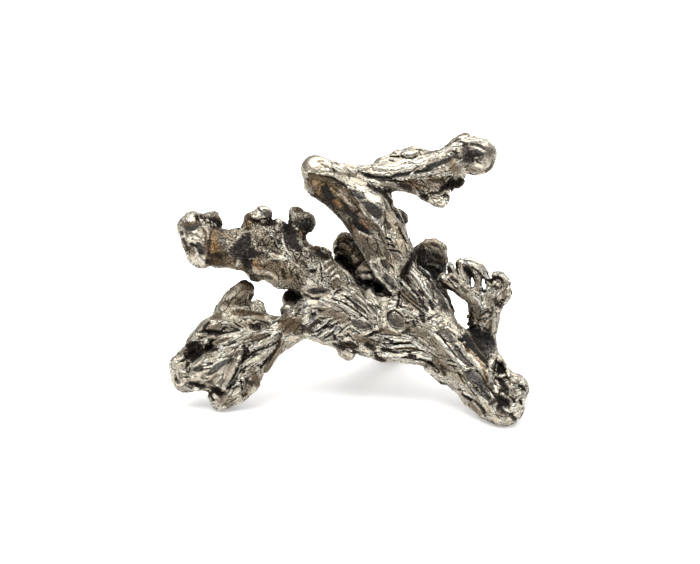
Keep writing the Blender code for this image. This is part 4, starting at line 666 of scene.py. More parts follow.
    ("cream", 0.7, 2.4, (231, 296), (236, 293)), ("cream", 0.5, 2, (238, 288), (241, 286)), ("umber", 0.8, 1.6, (237, 298), (239, 300)), ("umber", 0.6, 0.9, (232, 300), (238, 294), (243, 288)), ("umber", 0.6, 0.9, (236, 303), (243, 296), (248, 289)), ("umber", 0.5, 0.8, (228, 303), (233, 297)), ("brown", 0.5, 3.6, (241, 286), (248, 290)), ("tan", 0.35, 4, (236, 297), (244, 292)),
    ("cream", 0.6, 6, (252, 304), (259, 308)), ("cream", 0.8, 2.4, (222, 309), (234, 307.5), (247, 309)),
    ("brown", 0.85, 3.0, (233, 313), (246, 313), (262, 315)), ("cream", 0.8, 2.4, (222, 314), (236, 318), (250, 318), (270, 319)),
    ("cream", 0.6, 6, (226, 314), (232, 326)), ("cream", 0.55, 7, (238, 324), (250, 330), (246, 338)),
    ("brown", 0.5, 3.2, (236, 311), (250, 313), (262, 317)), ("tan", 0.5, 3, (228, 310), (240, 316)), ("tan", 0.4, 4, (246, 322), (256, 318)), ("umber", 0.8, 1.2, (235, 323), (243, 328)), ("umber", 0.8, 1.2, (231, 327), (240, 331)), ("umber", 0.8, 1.6, (223, 328), (226, 327)),
    ("brown", 0.7, 4, (214, 318), (220, 315)), ("brown", 0.45, 4.5, (210, 328), (219, 325)), ("silver", 0.95, 2.6, (210, 324), (216, 322)),
    ("umber", 0.95, 2.2, (203, 331), (206, 326), (209, 323)), ("grey", 0.5, 3, (196, 334), (203, 322), (210, 318)),
    # painted shadow along the slot
    ("soot", 1.0, 2.0, (203, 331), (211, 332.5), (220, 333), (229, 332.5), (237, 331)), ("cream", 0.5, 3, (196, 336), (205, 334)),
    ("umber", 0.9, 1.4, (199, 338), (214, 336)), ("cream", 0.5, 2.5, (205, 339), (214, 337)),
    # painted shadow in the mouth of the cave
    ("soot", 1.0, 6, (191, 346), (192, 354), (197, 359)), ("soot", 1.0, 3.4, (198, 347), (200, 353), (198, 358)),
    ("soot", 1.0, 4.2, (208, 347), (213, 348)), ("soot", 0.9, 3, (200, 356), (207, 351), (216, 350)), ("cream", 0.7, 2.0, (206, 341), (208, 343)), ("brown", 0.8, 2.4, (202, 350), (205, 352)), ("cream", 0.35, 1.5, (203, 350), (204, 351)), ("brown", 0.7, 2.2, (183, 352), (187, 354)), ("cream", 0.4, 1.4, (197, 339), (202, 340)), ("umber", 0.9, 3.4, (192, 360), (200, 363)),
    ("umber", 0.95, 2.2, (181, 361), (189, 357)), ("umber", 0.8, 3.5, (188, 363), (196, 361)), ("umber", 0.9, 1.6, (179, 373), (185, 374)),
    ("umber", 1.0, 2.0, (176, 379), (179, 382)), ("silver", 0.9, 2.0, (180, 370), (185, 371)), ("cream", 0.4, 6, (177, 366), (182, 378)),
    ("grey", 0.5, 3, (182, 380), (189, 385)), ("soot", 1.0, 2.8, (190, 383), (197, 385), (204, 386)),
    ("brown", 0.5, 3.0, (216, 343), (228, 339)), ("cream", 0.55, 3, (234, 340), (244, 336)), ("cream", 0.7, 1.8, (217, 337), (240, 333)),
    ("silver", 0.95, 1.8, (221, 348), (237, 344)), ("umber", 0.9, 1.2, (224, 346), (236, 342)), ("umber", 0.8, 1.2, (225, 350), (238, 347)),
    ("silver", 0.95, 2.4, (204, 362), (214, 357), (222, 353)), ("silver", 0.9, 1.8, (190, 373), (193, 367), (201, 361)),
    ("umber", 0.85, 1.2, (206, 356), (212, 354)), ("umber", 0.8, 1.2, (208, 359), (214, 356)), ("silver", 0.8, 2.0, (224, 352), (231, 350)),
    ("grey", 0.6, 4, (236, 354), (243, 352)), ("umber", 1.0, 1.2, (200, 371), (205, 369), (210, 368)),
    ("brown", 0.55, 4, (204, 376), (212, 378)), ("umber", 0.9, 1.8, (203, 377), (206, 374)), ("umber", 0.9, 1.4, (206, 382), (208, 383)),
    ("cream", 0.6, 2.2, (190, 378), (200, 381), (214, 387)), ("cream", 0.7, 2.6, (234, 362), (228, 380), (223, 388)),
    ("brown", 0.6, 3, (220, 382), (224, 380)), ("cream", 0.5, 3, (214, 382), (226, 368)), ("brown", 0.35, 4, (226, 372), (233, 362)),
    # painted shadow along the slot beside the leaf
    ("soot", 0.95, 2.0, (245, 351), (241, 361), (236, 371), (232, 380), (227, 388)), ("soot", 0.8, 1.5, (242, 346), (247, 349)),
    ("umber", 0.9, 4.5, (214, 390), (221, 393), (225, 396)), ("umber", 0.95, 1.8, (211, 394), (213, 400)),
    ("silver", 0.6, 5, (234, 395), (240, 391)), ("brown", 0.7, 5, (254, 374), (257, 384)), ("brown", 0.5, 6, (244, 392), (250, 384)),
    ("umber", 0.9, 1.3, (241, 380), (242, 390)), ("umber", 0.9, 1.6, (236, 387), (239, 386)), ("umber", 0.9, 1.8, (243, 396), (246, 394)),
    ("umber", 0.7, 3, (246, 380), (252, 384)), ("brown", 0.4, 6, (222, 400), (232, 402)), ("cream", 0.5, 4, (226, 398), (234, 394)),
    ("silver", 1.0, 1.6, (255, 335), (264, 331), (271, 330)), ("silver", 1.0, 1.6, (250, 350), (258, 343), (267, 338), (276, 333)),
    ("umber", 1.0, 1.5, (252, 342), (260, 340), (270, 335)), ("silver", 1.0, 1.4, (256, 347), (263, 343), (272, 341), (279, 340)),
    ("umber", 1.0, 1.4, (247, 356), (253, 353), (258, 350), (268, 347), (276, 343)), ("soot", 0.9, 2.8, (253, 355), (262, 356)),
    ("cream", 0.85, 2.8, (241, 367), (248, 361), (257, 358)), ("cream", 0.85, 2.4, (258, 357), (266, 352), (273, 349)),
    ("umber", 1.0, 1.9, (281, 336), (279, 345), (272, 354), (262, 366)), ("brown", 0.5, 4, (282, 342), (273, 358), (266, 370)),
    ("umber", 0.9, 1.4, (240, 372), (246, 366)), ("brown", 0.6, 4, (252, 338), (262, 336)), ("grey", 0.5, 3, (262, 342), (277, 337)),
    ("silver", 0.95, 4, (272, 326), (280, 324)), ("umber", 0.8, 4.5, (252, 326), (258, 328)), ("umber", 0.6, 3, (258, 324), (268, 324)),
    ("umber", 0.95, 1.8, (278, 321), (286, 321), (292, 317), (300, 309)), ("brown", 0.6, 5, (282, 326), (292, 322)),
    ("silver", 1.0, 4.5, (288, 314), (293, 311)), ("grey", 0.7, 5, (281, 310), (286, 315)), ("brown", 0.65, 7, (288, 330), (298, 322)),
    ("cream", 0.6, 4, (283, 338), (292, 337)), ("brown", 0.4, 5, (270, 372), (284, 352)),
    ("cream", 0.45, 6.0, (206, 374), (216, 380), (224, 372)), ("cream", 0.4, 4.0, (204, 360), (222, 352), (236, 350)), ("slate", 0.9, 3.2, (193, 369), (201, 368)), ("slate", 0.8, 2.0, (203, 365), (212, 363)), ("slate", 0.92, 3.6, (209, 374), (220, 366), (231, 359)),
    ("silver", 0.9, 1.2, (190, 366), (197, 364), (206, 364)), ("silver", 0.8, 1.2, (207, 377), (215, 375), (228, 365)),
    ("umber", 1.0, 2.2, (187, 346), (196, 350), (204, 350)), ("umber", 1.0, 3.0, (190, 352), (196, 357)),
    # hub
    ("umber", 0.95, 2.4, (305, 294), (309, 296)), ("umber", 0.95, 1.6, (311, 298), (318, 299), (323, 297)), ("umber", 0.8, 2.2, (323, 296), (330, 293)),
    ("silver", 0.9, 1.6, (303, 289), (311, 284)), ("cream", 0.8, 4, (324, 299), (332, 295)), ("umber", 1.0, 1.4, (335, 293), (338, 291), (341, 290)),
    ("silver", 1.0, 1.8, (322, 299), (333, 301), (345, 308), (354, 314), (367, 321)), ("umber", 1.0, 1.3, (332, 299), (344, 303), (356, 311), (368, 319.5)),
    ("silver", 0.95, 1.3, (345, 293), (352, 299), (360, 306), (374, 317)), ("umber", 1.0, 1.1, (351, 301), (358, 306), (370, 315)),
    ("silver", 0.95, 1.3, (349, 290), (358, 298), (367, 307), (375, 315)), ("umber", 0.9, 1.0, (345, 296), (352, 302), (358, 309)),
    ("silver", 1.0, 4.0, (363, 287), (370, 287)), ("silver", 1.0, 4.0, (367, 292), (373, 299)), ("silver", 0.9, 2.6, (364, 299), (370, 303)),
    ("cream", 0.8, 6, (376, 298), (384, 303)), ("silver", 1.0, 4.0, (386, 308), (394, 305)), ("cream", 0.6, 4, (384, 308), (384, 326)),
    ("silver", 0.9, 4.0, (305, 321), (307, 312)), ("cream", 0.8, 3, (306, 309), (318, 305)), ("umber", 1.0, 2.0, (312, 314), (315, 314.5)),
    ("umber", 1.0, 1.5, (319, 310), (321, 310)), ("silver", 0.95, 1.3, (308, 309), (315, 303), (323, 302)), ("umber", 0.9, 1.6, (319, 304), (324, 305)),
    ("silver", 0.95, 1.2, (322, 302), (326, 306), (330, 307)), ("umber", 0.8, 1.1, (313, 309), (320, 308), (325, 309)),
    ("brown", 0.45, 7, (326, 312), (344, 318)), ("umber", 1.0, 1.3, (320, 318), (331, 319)), ("umber", 1.0, 1.3, (331, 320), (324, 326), (317, 332)),
    ("umber", 1.0, 2.0, (324, 328), (333, 326)), ("umber", 1.0, 1.3, (332, 326), (339, 322)), ("silver", 0.9, 1.2, (318, 326), (325, 320), (332, 318)),
    ("umber", 0.85, 2.6, (311, 326), (318, 321)), ("umber", 0.9, 1.1, (316, 337), (322, 331)), ("umber", 0.95, 1.2, (322, 340), (330, 335), (334, 331)),
    ("umber", 1.0, 2.0, (334, 335), (336, 339)), ("cream", 0.4, 5, (340, 330), (352, 330)), ("umber", 0.95, 1.2, (342, 339), (346, 335.5), (349, 335), (354, 340)),
    ("umber", 0.8, 1.0, (339, 333), (346, 326), (350, 324)), ("umber", 0.8, 1.0, (344, 334), (349, 329)), ("umber", 0.8, 1.0, (352, 328), (360, 333)),
    ("silver", 0.7, 2.0, (345, 338), (350, 338)), ("cream", 0.5, 5, (306, 339), (322, 342), (338, 345)),
    ("brown", 0.7, 8, (286, 322), (298, 328)), ("umber", 0.8, 4, (304, 328), (310, 330)), ("umber", 0.9, 3.4, (341, 345), (344, 349)),
    ("umber", 0.9, 4, (346, 345), (355, 346)), ("umber", 0.9, 2.2, (352, 351), (356, 351)), ("brown", 0.6, 2.4, (346, 345), (353, 346)),
    ("silver", 0.9, 1.3, (345, 351.5), (351, 351)), ("umber", 0.9, 1.4, (344, 356), (346, 356)), ("cream", 0.5, 4, (342, 354), (350, 356)),
    ("umber", 0.8, 2.4, (334, 344), (340, 347)), ("brown", 0.6, 6, (358, 338), (370, 342)), ("umber", 0.9, 3.4, (367, 344), (374, 349)),
    ("umber", 0.8, 1.8, (365, 336), (370, 335)), ("umber", 0.95, 2.4, (371, 334), (380, 331)), ("silver", 0.9, 1.6, (365, 349), (369, 352)),
    ("umber", 0.95, 1.8, (375, 353), (377, 355)), ("umber", 0.95, 3.0, (377, 357), (384, 361)), ("umber", 0.6, 3, (374, 345), (379, 342)),
    ("brown", 0.6, 5, (382, 330), (398, 334)), ("brown", 0.45, 6, (404, 326), (424, 334)), ("umber", 0.8, 3.2, (404, 332), (408, 330)),
    ("silver", 0.95, 1.6, (388, 324), (391, 329), (397, 331.5), (403, 329)), ("umber", 0.9, 1.4, (388, 323), (388, 315), (391, 311)),
    ("umber", 0.95, 1.6, (399, 292), (399, 300), (397, 307)), ("umber", 0.95, 1.5, (400, 306), (406, 308), (412, 310)),
    ("silver", 1.0, 1.5, (400, 310), (407, 309), (413, 312), (420, 316)), ("umber", 1.0, 1.5, (406, 317), (408, 317)),
    ("umber", 1.0, 1.7, (406, 323), (408, 323)), ("umber", 1.0, 1.6, (413, 321), (415, 326)), ("umber", 1.0, 1.4, (417, 321), (418, 322)),
    ("silver", 0.9, 1.4, (399, 279), (405, 286), (412, 293), (418, 300)), ("umber", 0.95, 1.2, (402, 291), (411, 299), (421, 307)),
    ("silver", 0.8, 1.4, (402, 287), (408, 293)), ("umber", 0.9, 1.1, (403, 296), (412, 304), (420, 311)), ("brown", 0.4, 5, (404, 296), (416, 308)),
    ("umber", 0.95, 2.0, (413, 290), (418, 295)), ("soot", 0.95, 2.8, (420, 291), (427, 298), (431, 304), (433, 309)),
    ("soot", 0.9, 2.6, (420, 300), (427, 310)), ("soot", 1.0, 3.8, (422, 314), (424, 321)), ("soot", 0.95, 2.2, (428, 319), (435, 316), (441, 312)),
    ("silver", 0.8, 1.0, (424, 297), (428, 301)), ("silver", 0.8, 1.0, (425, 304), (430, 308)), ("silver", 1.0, 3.8, (411, 268), (418, 276), (426, 287), (430, 296)),
    ("silver", 1.0, 8, (438, 322), (446, 314)), ("silver", 0.8, 4, (436, 328), (448, 329)), ("brown", 0.45, 2, (442, 323), (444, 325)), ("umber", 0.8, 0.9, (436, 318), (440, 315.5), (444, 317)), ("umber", 0.75, 0.9, (439, 322), (444, 321)), ("umber", 0.75, 0.8, (446, 313), (449, 317)), ("tan", 0.5, 2.0, (438, 326), (446, 330)), ("grey", 0.4, 2.4, (446, 318), (450, 322)),
    ("soot", 0.6, 3.4, (451, 309), (455, 317), (460, 327)), ("cream", 0.7, 3, (440, 312), (448, 318), (454, 330)),
    ("silver", 1.0, 1.9, (383, 336), (392, 338), (404, 340), (412, 338), (418, 342), (425, 350)), ("umber", 0.95, 1.2, (385, 338), (393, 341)),
    ("brown", 0.9, 1.3, (393, 343), (401, 342), (411, 343)), ("silver", 0.95, 1.5, (392, 347), (400, 345), (412, 345), (419, 348)),
    ("umber", 1.0, 2.6, (382, 349), (389, 350)), ("brown", 0.9, 1.5, (397, 349), (408, 348), (420, 350), (428, 354)),
    ("umber", 0.95, 1.3, (388, 352), (400, 353), (411, 352)), ("umber", 0.95, 1.8, (409, 355), (416, 356)), ("silver", 0.9, 2.2, (384, 354), (395, 356), (406, 354)),
    ("silver", 0.95, 2.4, (416, 352), (426, 356), (431, 359)), ("umber", 0.95, 1.3, (402, 357), (412, 358), (422, 360), (432, 363)),
    ("cream", 0.5, 2.6, (398, 360), (414, 362), (430, 366)), ("silver", 0.7, 3, (414, 344), (422, 347)),
    ("umber", 0.95, 4.5, (402, 276), (408, 268), (412, 260)),
    # painted highlights: bright rims of the lens and of the feather's blades, in diffuse cream; painted dark reflection
    # in the lens
    ("cream", 1.0, 1.5, (304, 290), (311, 286.5), (322, 285.5), (330, 289.5)), ("cream", 1.0, 1.4, (305, 292), (313, 296), (323, 295), (330, 291)), ("slate", 0.85, 3.4, (309, 291.5), (319, 291), (328, 290.5)), ("soot", 0.6, 1.8, (314, 292), (323, 290.5)), ("grey", 0.5, 0.9, (316, 290.5), (324, 289)),
    ("cream", 0.95, 1.3, (330, 301), (341, 306), (352, 312.5), (366, 322)), ("cream", 0.95, 1.2, (344, 291), (353, 299), (363, 308), (373, 318)), ("cream", 0.9, 1.1, (350, 289), (360, 299), (370, 309), (376, 316)),
    ("soot", 0.6, 1.8, (347, 297), (356, 304), (365, 312)), ("soot", 0.5, 1.5, (354, 296), (363, 304), (369, 311)), ("soot", 0.5, 2.4, (368, 305), (375, 313)), ("soot", 0.35, 2.2, (326, 301.5), (338, 306), (346, 311)), ("cream", 0.5, 3.0, (305, 312), (306, 322)), ("cream", 0.5, 4.0, (312, 303), (326, 306)),
    ("cream", 1.0, 3.2, (366, 288), (371, 287)), ("cream", 1.0, 3.6, (368.5, 292), (373, 300)), ("umber", 0.9, 1.0, (361, 292), (366, 299)), ("cream", 0.9, 3.0, (380, 300), (386, 298)),
    # painted shadow in the black hole over the hub
    ("soot", 1.0, 6.4, (380, 288), (385, 291)), ("soot", 1.0, 3.2, (377, 283), (384, 286), (390, 294)), ("grey", 0.7, 5, (356, 324), (366, 327)), ("soot", 0.35, 2.6, (352, 321), (360, 324)), ("soot", 0.4, 2.2, (362, 327), (372, 326)), ("umber", 0.6, 1.0, (366, 322), (371, 328)), ("cream", 0.6, 2.0, (343, 333), (351, 330)),
    ("grey", 0.8, 5.0, (392, 318), (398, 324)), ("soot", 0.35, 2.4, (390, 315), (394, 324)), ("brown", 0.4, 2.4, (396, 317), (401, 324)), ("grey", 0.5, 0.9, (392, 320), (398, 327)), ("cream", 0.9, 1.3, (387, 322), (390, 329), (397, 332), (404, 328)), ("umber", 0.9, 1.2, (388, 313), (395, 310), (403, 317)),
    # right leg
    ("slate", 0.95, 3.6, (441, 330), (449, 334), (453, 342)), ("silver", 1.0, 1.8, (431, 331), (437, 339), (447, 349), (456, 357)),
    ("umber", 0.9, 1.1, (436, 332), (446, 344), (457, 357)), ("silver", 0.9, 1.0, (447, 342), (457, 355)), ("silver", 0.95, 2.2, (453, 345), (459, 344)),
    ("slate", 0.92, 3.6, (455, 347), (462, 357), (470, 365)), ("silver", 0.95, 1.4, (459, 345), (465, 355), (471, 362)), ("silver", 0.95, 1.4, (460, 363), (467, 370)),
    ("cream", 1.0, 4.6, (462, 343), (471, 354), (478, 364), (485, 372)), ("silver", 0.8, 2.4, (468, 355), (476, 364)),
    ("ochre", 0.9, 2.4, (464, 344), (468, 351), (476, 357)), ("ochre", 0.8, 2.0, (478, 360), (484, 369), (486, 375)), ("brown", 0.8, 1.8, (465, 346), (468, 351)),
    ("umber", 1.0, 2.0, (459, 339), (463, 341)), ("umber", 0.95, 2.4, (464, 337), (471, 346), (478, 355), (485, 361)),
    ("slate", 0.97, 5.5, (469, 371), (479, 380), (484, 388)), ("grey", 0.4, 2.0, (473, 371), (481, 378)), ("slate", 0.6, 5.0, (470, 373), (480, 384)), ("grey", 0.6, 1.2, (484, 378), (486, 388)), ("slate", 0.9, 3.2, (482, 390), (489, 398)),
    ("silver", 0.8, 1.3, (465, 370), (470, 368), (473, 367)), ("umber", 1.0, 1.2, (458, 372), (465, 384)), ("umber", 1.0, 1.1, (469, 387), (474, 393), (480, 402), (485, 411)),
    ("umber", 0.95, 2.2, (475, 400), (485, 412)), ("umber", 0.95, 2.0, (463, 394), (471, 400)), ("umber", 0.95, 1.5, (459, 389), (461, 390)),
    ("umber", 0.9, 1.2, (448, 360), (455, 362)), ("umber", 0.9, 1.2, (449, 365), (457, 366.5)), ("silver", 0.9, 1.0, (448, 362.5), (456, 364)),
    ("brown", 0.6, 6, (437, 360), (445, 372)), ("umber", 0.8, 2, (441, 366), (445, 374)), ("cream", 0.5, 4, (450, 374), (468, 390)),
    ("cream", 0.5, 4, (478, 398), (490, 408)), ("umber", 0.8, 1.6, (432, 369), (438, 373)), ("silver", 0.6, 3, (428, 368), (434, 374), (444, 380)),
    ("brown", 0.4, 5, (432, 340), (444, 356)), ("brown", 0.35, 6, (448, 366), (462, 378)), ("brown", 0.5, 3, (470, 404), (480, 414)),
    ("umber", 0.7, 1.4, (483, 411), (486, 416)), ("umber", 0.8, 1.8, (488, 420), (494, 423)),
    # foot
    ("silver", 1.0, 3.2, (491, 358), (491, 367)), ("grey", 0.9, 2.2, (491, 366), (492, 370)), ("cream", 0.5, 3, (497, 357), (501, 361)),
    ("soot", 1.0, 4.2, (501, 364), (501, 371)), ("brown", 1.0, 1.5, (485, 375), (487, 384), (491, 391), (498, 396)), ("ochre", 0.7, 1.0, (483, 374), (485, 380)),
    ("grey", 0.8, 2.8, (489, 374), (491, 380)), ("soot", 0.6, 2.6, (491, 384), (493, 389)), ("silver", 0.9, 1.2, (494, 382), (496, 388)),
    ("silver", 0.95, 1.3, (496, 375), (500, 377), (504, 374)), ("umber", 0.95, 4.5, (501, 381), (506, 390)), ("umber", 0.9, 3, (500, 391), (507, 394)),
    ("soot", 0.95, 6, (500, 399), (506, 403), (501, 409)), ("umber", 0.95, 3.6, (499, 412), (505, 415)), ("soot", 0.95, 3.0, (509, 414), (514, 418)),
    ("umber", 0.9, 1.4, (510, 397), (518, 404)), ("umber", 0.9, 1.3, (513, 396), (516, 404)), ("silver", 0.95, 3.0, (511, 409), (517, 404)),
    ("silver", 0.9, 1.6, (502, 394), (504, 396)), ("silver", 0.9, 1.2, (504, 408), (509, 411)), ("cream", 0.6, 4.5, (512, 379), (522, 380)),
    ("umber", 0.9, 1.8, (521, 386), (525, 390)), ("umber", 0.9, 1.8, (519, 401), (521, 403)), ("grey", 0.9, 2.2, (510, 392), (515, 391)),
    ("silver", 0.8, 3.0, (515, 396), (522, 393)), ("cream", 0.4, 6, (490, 412), (506, 419)), ("umber", 0.7, 2, (490, 404), (496, 401)),
    # painted shadow in the black hollow beside the leg, and the stem of the right frond
    ("soot", 1.0, 8, (468, 338), (480, 339), (488, 340)), ("soot", 1.0, 10, (472, 344), (482, 346), (489, 344)), ("soot", 0.95, 7, (478, 351), (488, 355)),
    ("soot", 0.95, 3.4, (471, 330), (478, 333), (488, 334)), ("umber", 0.95, 2.6, (469, 323), (474, 327)), ("umber", 0.9, 2.0, (478, 325), (480, 330)), ("umber", 0.9, 1.8, (484, 328), (489, 331)), ("grey", 0.35, 2.0, (483, 345), (485, 346)), ("grey", 0.35, 2.0, (476, 348), (478, 349)),
    ("umber", 0.9, 3, (470, 322), (474, 326)), ("umber", 0.75, 3, (469, 312), (469, 320)), ("grey", 0.3, 3, (486, 352), (492, 354)),
    # right frond
    ("silver", 0.9, 2.0, (440, 276.5), (447, 278)), ("umber", 0.8, 2, (440, 281), (444, 284)), ("brown", 0.4, 3, (446, 282), (458, 292)),
    ("umber", 0.95, 1.2, (448, 279), (455, 287), (459, 289)), ("silver", 0.9, 1.4, (450, 278), (456, 286)), ("umber", 1.0, 2.2, (451, 278), (457, 282)),
    ("umber", 0.9, 1.4, (449, 267), (452, 272)), ("cream", 0.6, 2, (450, 263), (458, 270)), ("cream", 0.6, 2.5, (458, 270), (463, 278)),
    ("brown", 0.5, 2.6, (458, 262), (461, 265)), ("silver", 0.95, 1.6, (463, 263), (470, 267), (476, 271)), ("soot", 1.0, 3.2, (465, 268), (471, 274), (473, 275)),
    ("silver", 0.95, 3.0, (475, 271), (480, 275)), ("cream", 0.5, 2.4, (472, 262), (482, 268)), ("umber", 0.9, 1.3, (472, 267), (478, 271), (484, 278)),
    ("brown", 0.5, 2.6, (476, 278), (478, 290)), ("cream", 0.6, 5, (468, 298), (478, 306), (486, 300)), ("cream", 0.5, 3, (460, 290), (468, 300)), ("silver", 0.7, 3, (474, 296), (480, 300)), ("silver", 0.9, 1.5, (485, 274), (489, 280)), ("umber", 1.0, 1.8, (486, 280.5), (491, 280.5)),
    ("umber", 0.9, 3, (491, 284), (497, 288)), ("silver", 0.95, 1.8, (487, 284), (490, 285)), ("silver", 0.8, 1.6, (492, 285), (494, 284)),
    ("silver", 0.8, 1.6, (494, 274), (501, 274), (506, 280)), ("umber", 0.9, 2, (493, 277), (500, 278), (503, 282)), ("grey", 0.5, 3, (505, 280), (509, 290), (507, 298)),
    ("brown", 0.4, 3, (500, 286), (504, 296)), ("umber", 0.9, 1.4, (501, 300), (504, 300)), ("umber", 0.95, 1.8, (481, 291), (485, 292)),
    ("umber", 0.7, 2.4, (461, 287), (466, 292)), ("brown", 0.3, 4, (464, 294), (470, 302)), ("silver", 0.9, 4.5, (480, 305), (487, 306)),
    ("cream", 0.5, 4, (470, 294), (478, 302)), ("brown", 0.4, 4, (488, 298), (497, 304)), ("umber", 0.7, 3, (495, 300), (500, 306)),
    ("silver", 0.95, 1.4, (481, 319), (486, 316), (492, 313)), ("umber", 0.8, 2.4, (482, 315), (488, 311)), ("umber", 0.7, 2.2, (487, 324), (491, 321), (490, 329)), ("tan", 0.5, 2.4, (476, 316), (480, 324)), ("tan", 0.6, 2.6, (484, 321), (489, 324)), ("cream", 0.8, 1.1, (481, 318), (487, 314), (492, 312)), ("umber", 0.9, 1.2, (479, 320), (485, 318)), ("umber", 0.9, 1.6, (472, 308), (471, 316)), ("tan", 0.6, 1.3, (468.5, 312), (469, 318)), ("cream", 0.7, 1.2, (495.5, 309), (494.5, 322), (494, 338)),
    ("brown", 0.5, 5, (474, 306), (478, 320)), ("cream", 0.5, 2.2, (494, 312), (493, 330)), ("umber", 0.7, 2.4, (492, 308), (490, 316)),
    # fingers again, once the notches part them
    ("cream", 0.6, 2.2, (442, 279), (452, 287)), ("umber", 0.9, 1.4, (445, 284), (455, 291)), ("brown", 0.8, 1.6, (446.5, 262), (446.8, 274)),
    ("umber", 0.95, 1.6, (455.5, 266), (458, 274)), ("cream", 0.5, 2.4, (460, 266), (462, 282)),
    # rear knob
    ("soot", 0.85, 12, (418, 256), (430, 262), (436, 268)), ("soot", 0.8, 8, (420, 268), (434, 275)), ("umber", 0.5, 8, (432, 252), (438, 262)),
    ("brown", 0.9, 3, (426, 241), (438, 243)), ("cream", 0.5, 1.6, (436, 241), (444, 246)),
    ("soot", 0.9, 3.4, (433, 246), (441, 250)), ("brown", 0.4, 3, (430, 256), (442, 260)), ("grey", 0.6, 2, (444, 246), (446, 262)),
    ("grey", 0.5, 1.4, (418, 259), (424, 262)), ("soot", 0.9, 9, (432, 281), (441, 290), (447, 305)), ("slate", 0.85, 5.5, (434, 282), (440, 291)), ("slate", 0.85, 4.8, (439, 295), (446, 304)), ("grey", 0.35, 4.5, (434, 283), (440, 291), (446, 303)),
    ("cream", 0.3, 1.4, (441, 285), (447, 292), (452, 302)), ("grey", 0.5, 3, (437, 296), (443, 301)),
    ("cream", 0.65, 1.5, (425, 242), (434, 241), (443, 245)), ("grey", 0.5, 2.0, (427, 247), (436, 248), (442, 252)), ("grey", 0.5, 2.0, (426, 262), (437, 267)),
    ("umber", 0.95, 2.6, (418, 251), (424, 254)), ("tan", 0.6, 1.7, (424, 243.5), (431, 246), (439, 251)), ("cream", 0.5, 1.2, (440, 246), (444.5, 252)), ("grey", 0.4, 3.0, (432, 254), (436, 258)), ("soot", 0.8, 4, (415, 252), (418, 262)), ("umber", 0.9, 2.4, (433, 255), (440, 258)), ("cream", 0.45, 1.1, (445, 250), (446, 262)),
    # knuckles of the spur, with painted highlights in ochre and cream on them and painted shade in umber between them
    ("ochre", 0.3, 2.0, (338, 238), (341, 240)), ("cream", 0.35, 1.6, (348, 236), (351, 238)), ("ochre", 0.25, 2.0, (342, 246), (348, 250)),
    ("cream", 0.35, 1.8, (352, 257), (356, 261)), ("umber", 1.0, 2.0, (344, 241), (345, 242)), ("umber", 1.0, 2.0, (348, 244), (350, 245)),
    ("umber", 1.0, 4.0, (338, 262), (348, 260)), ("umber", 1.0, 3.0, (347, 256), (352, 266)),
    # shaded right side of the arm's knob
    ("grey", 0.5, 5.0, (486, 149), (490.5, 159), (485, 169)), ("grey", 0.35, 3.5, (475, 170), (484, 171)),
    # painted dark reflections on the faces at the mast's foot, with bright edges
    ("slate", 0.85, 3.4, (386, 276), (390, 281), (394, 288)), ("slate", 0.7, 2.8, (383, 262), (388, 269)),
    ("silver", 0.9, 1.0, (376, 270), (382, 278), (388, 287), (393, 293)), ("silver", 0.8, 0.9, (390, 273), (395, 280), (399, 288)),
    # shaded rims of the mast's cap and of the arm's back
    ("grey", 0.35, 4.5, (304, 177), (302, 169), (305, 161), (311, 156)),
    ("grey", 0.45, 1.5, (373, 163), (380, 157), (390, 154), (400, 150), (410, 148.5), (420, 150.5), (431, 154)),
    ("grey", 0.40, 1.5, (433, 154), (443, 149), (452, 143), (460, 137)),
]
FLOWS = [
    (12, (318, 186), (340, 205), (362, 234), (384, 264), (396, 290)),
    (10, (350, 186), (372, 205), (388, 230), (400, 255)),
    (9, (362, 175), (390, 180), (412, 180), (440, 172)),
    (9, (375, 163), (400, 163), (425, 158), (455, 144)),
    (10, (256, 262), (275, 268), (295, 282), (305, 292)),
    (12, (320, 298), (345, 306), (372, 320)), (9, (316, 338), (338, 322)),
    (9, (396, 280), (424, 312)), (9, (382, 338), (412, 341), (432, 352)),
    (10, (432, 332), (460, 362), (486, 392), (498, 412)), (8, (250, 350), (280, 334)), (10, (206, 378), (238, 350)),
    (9, (262, 372), (284, 340)),
]
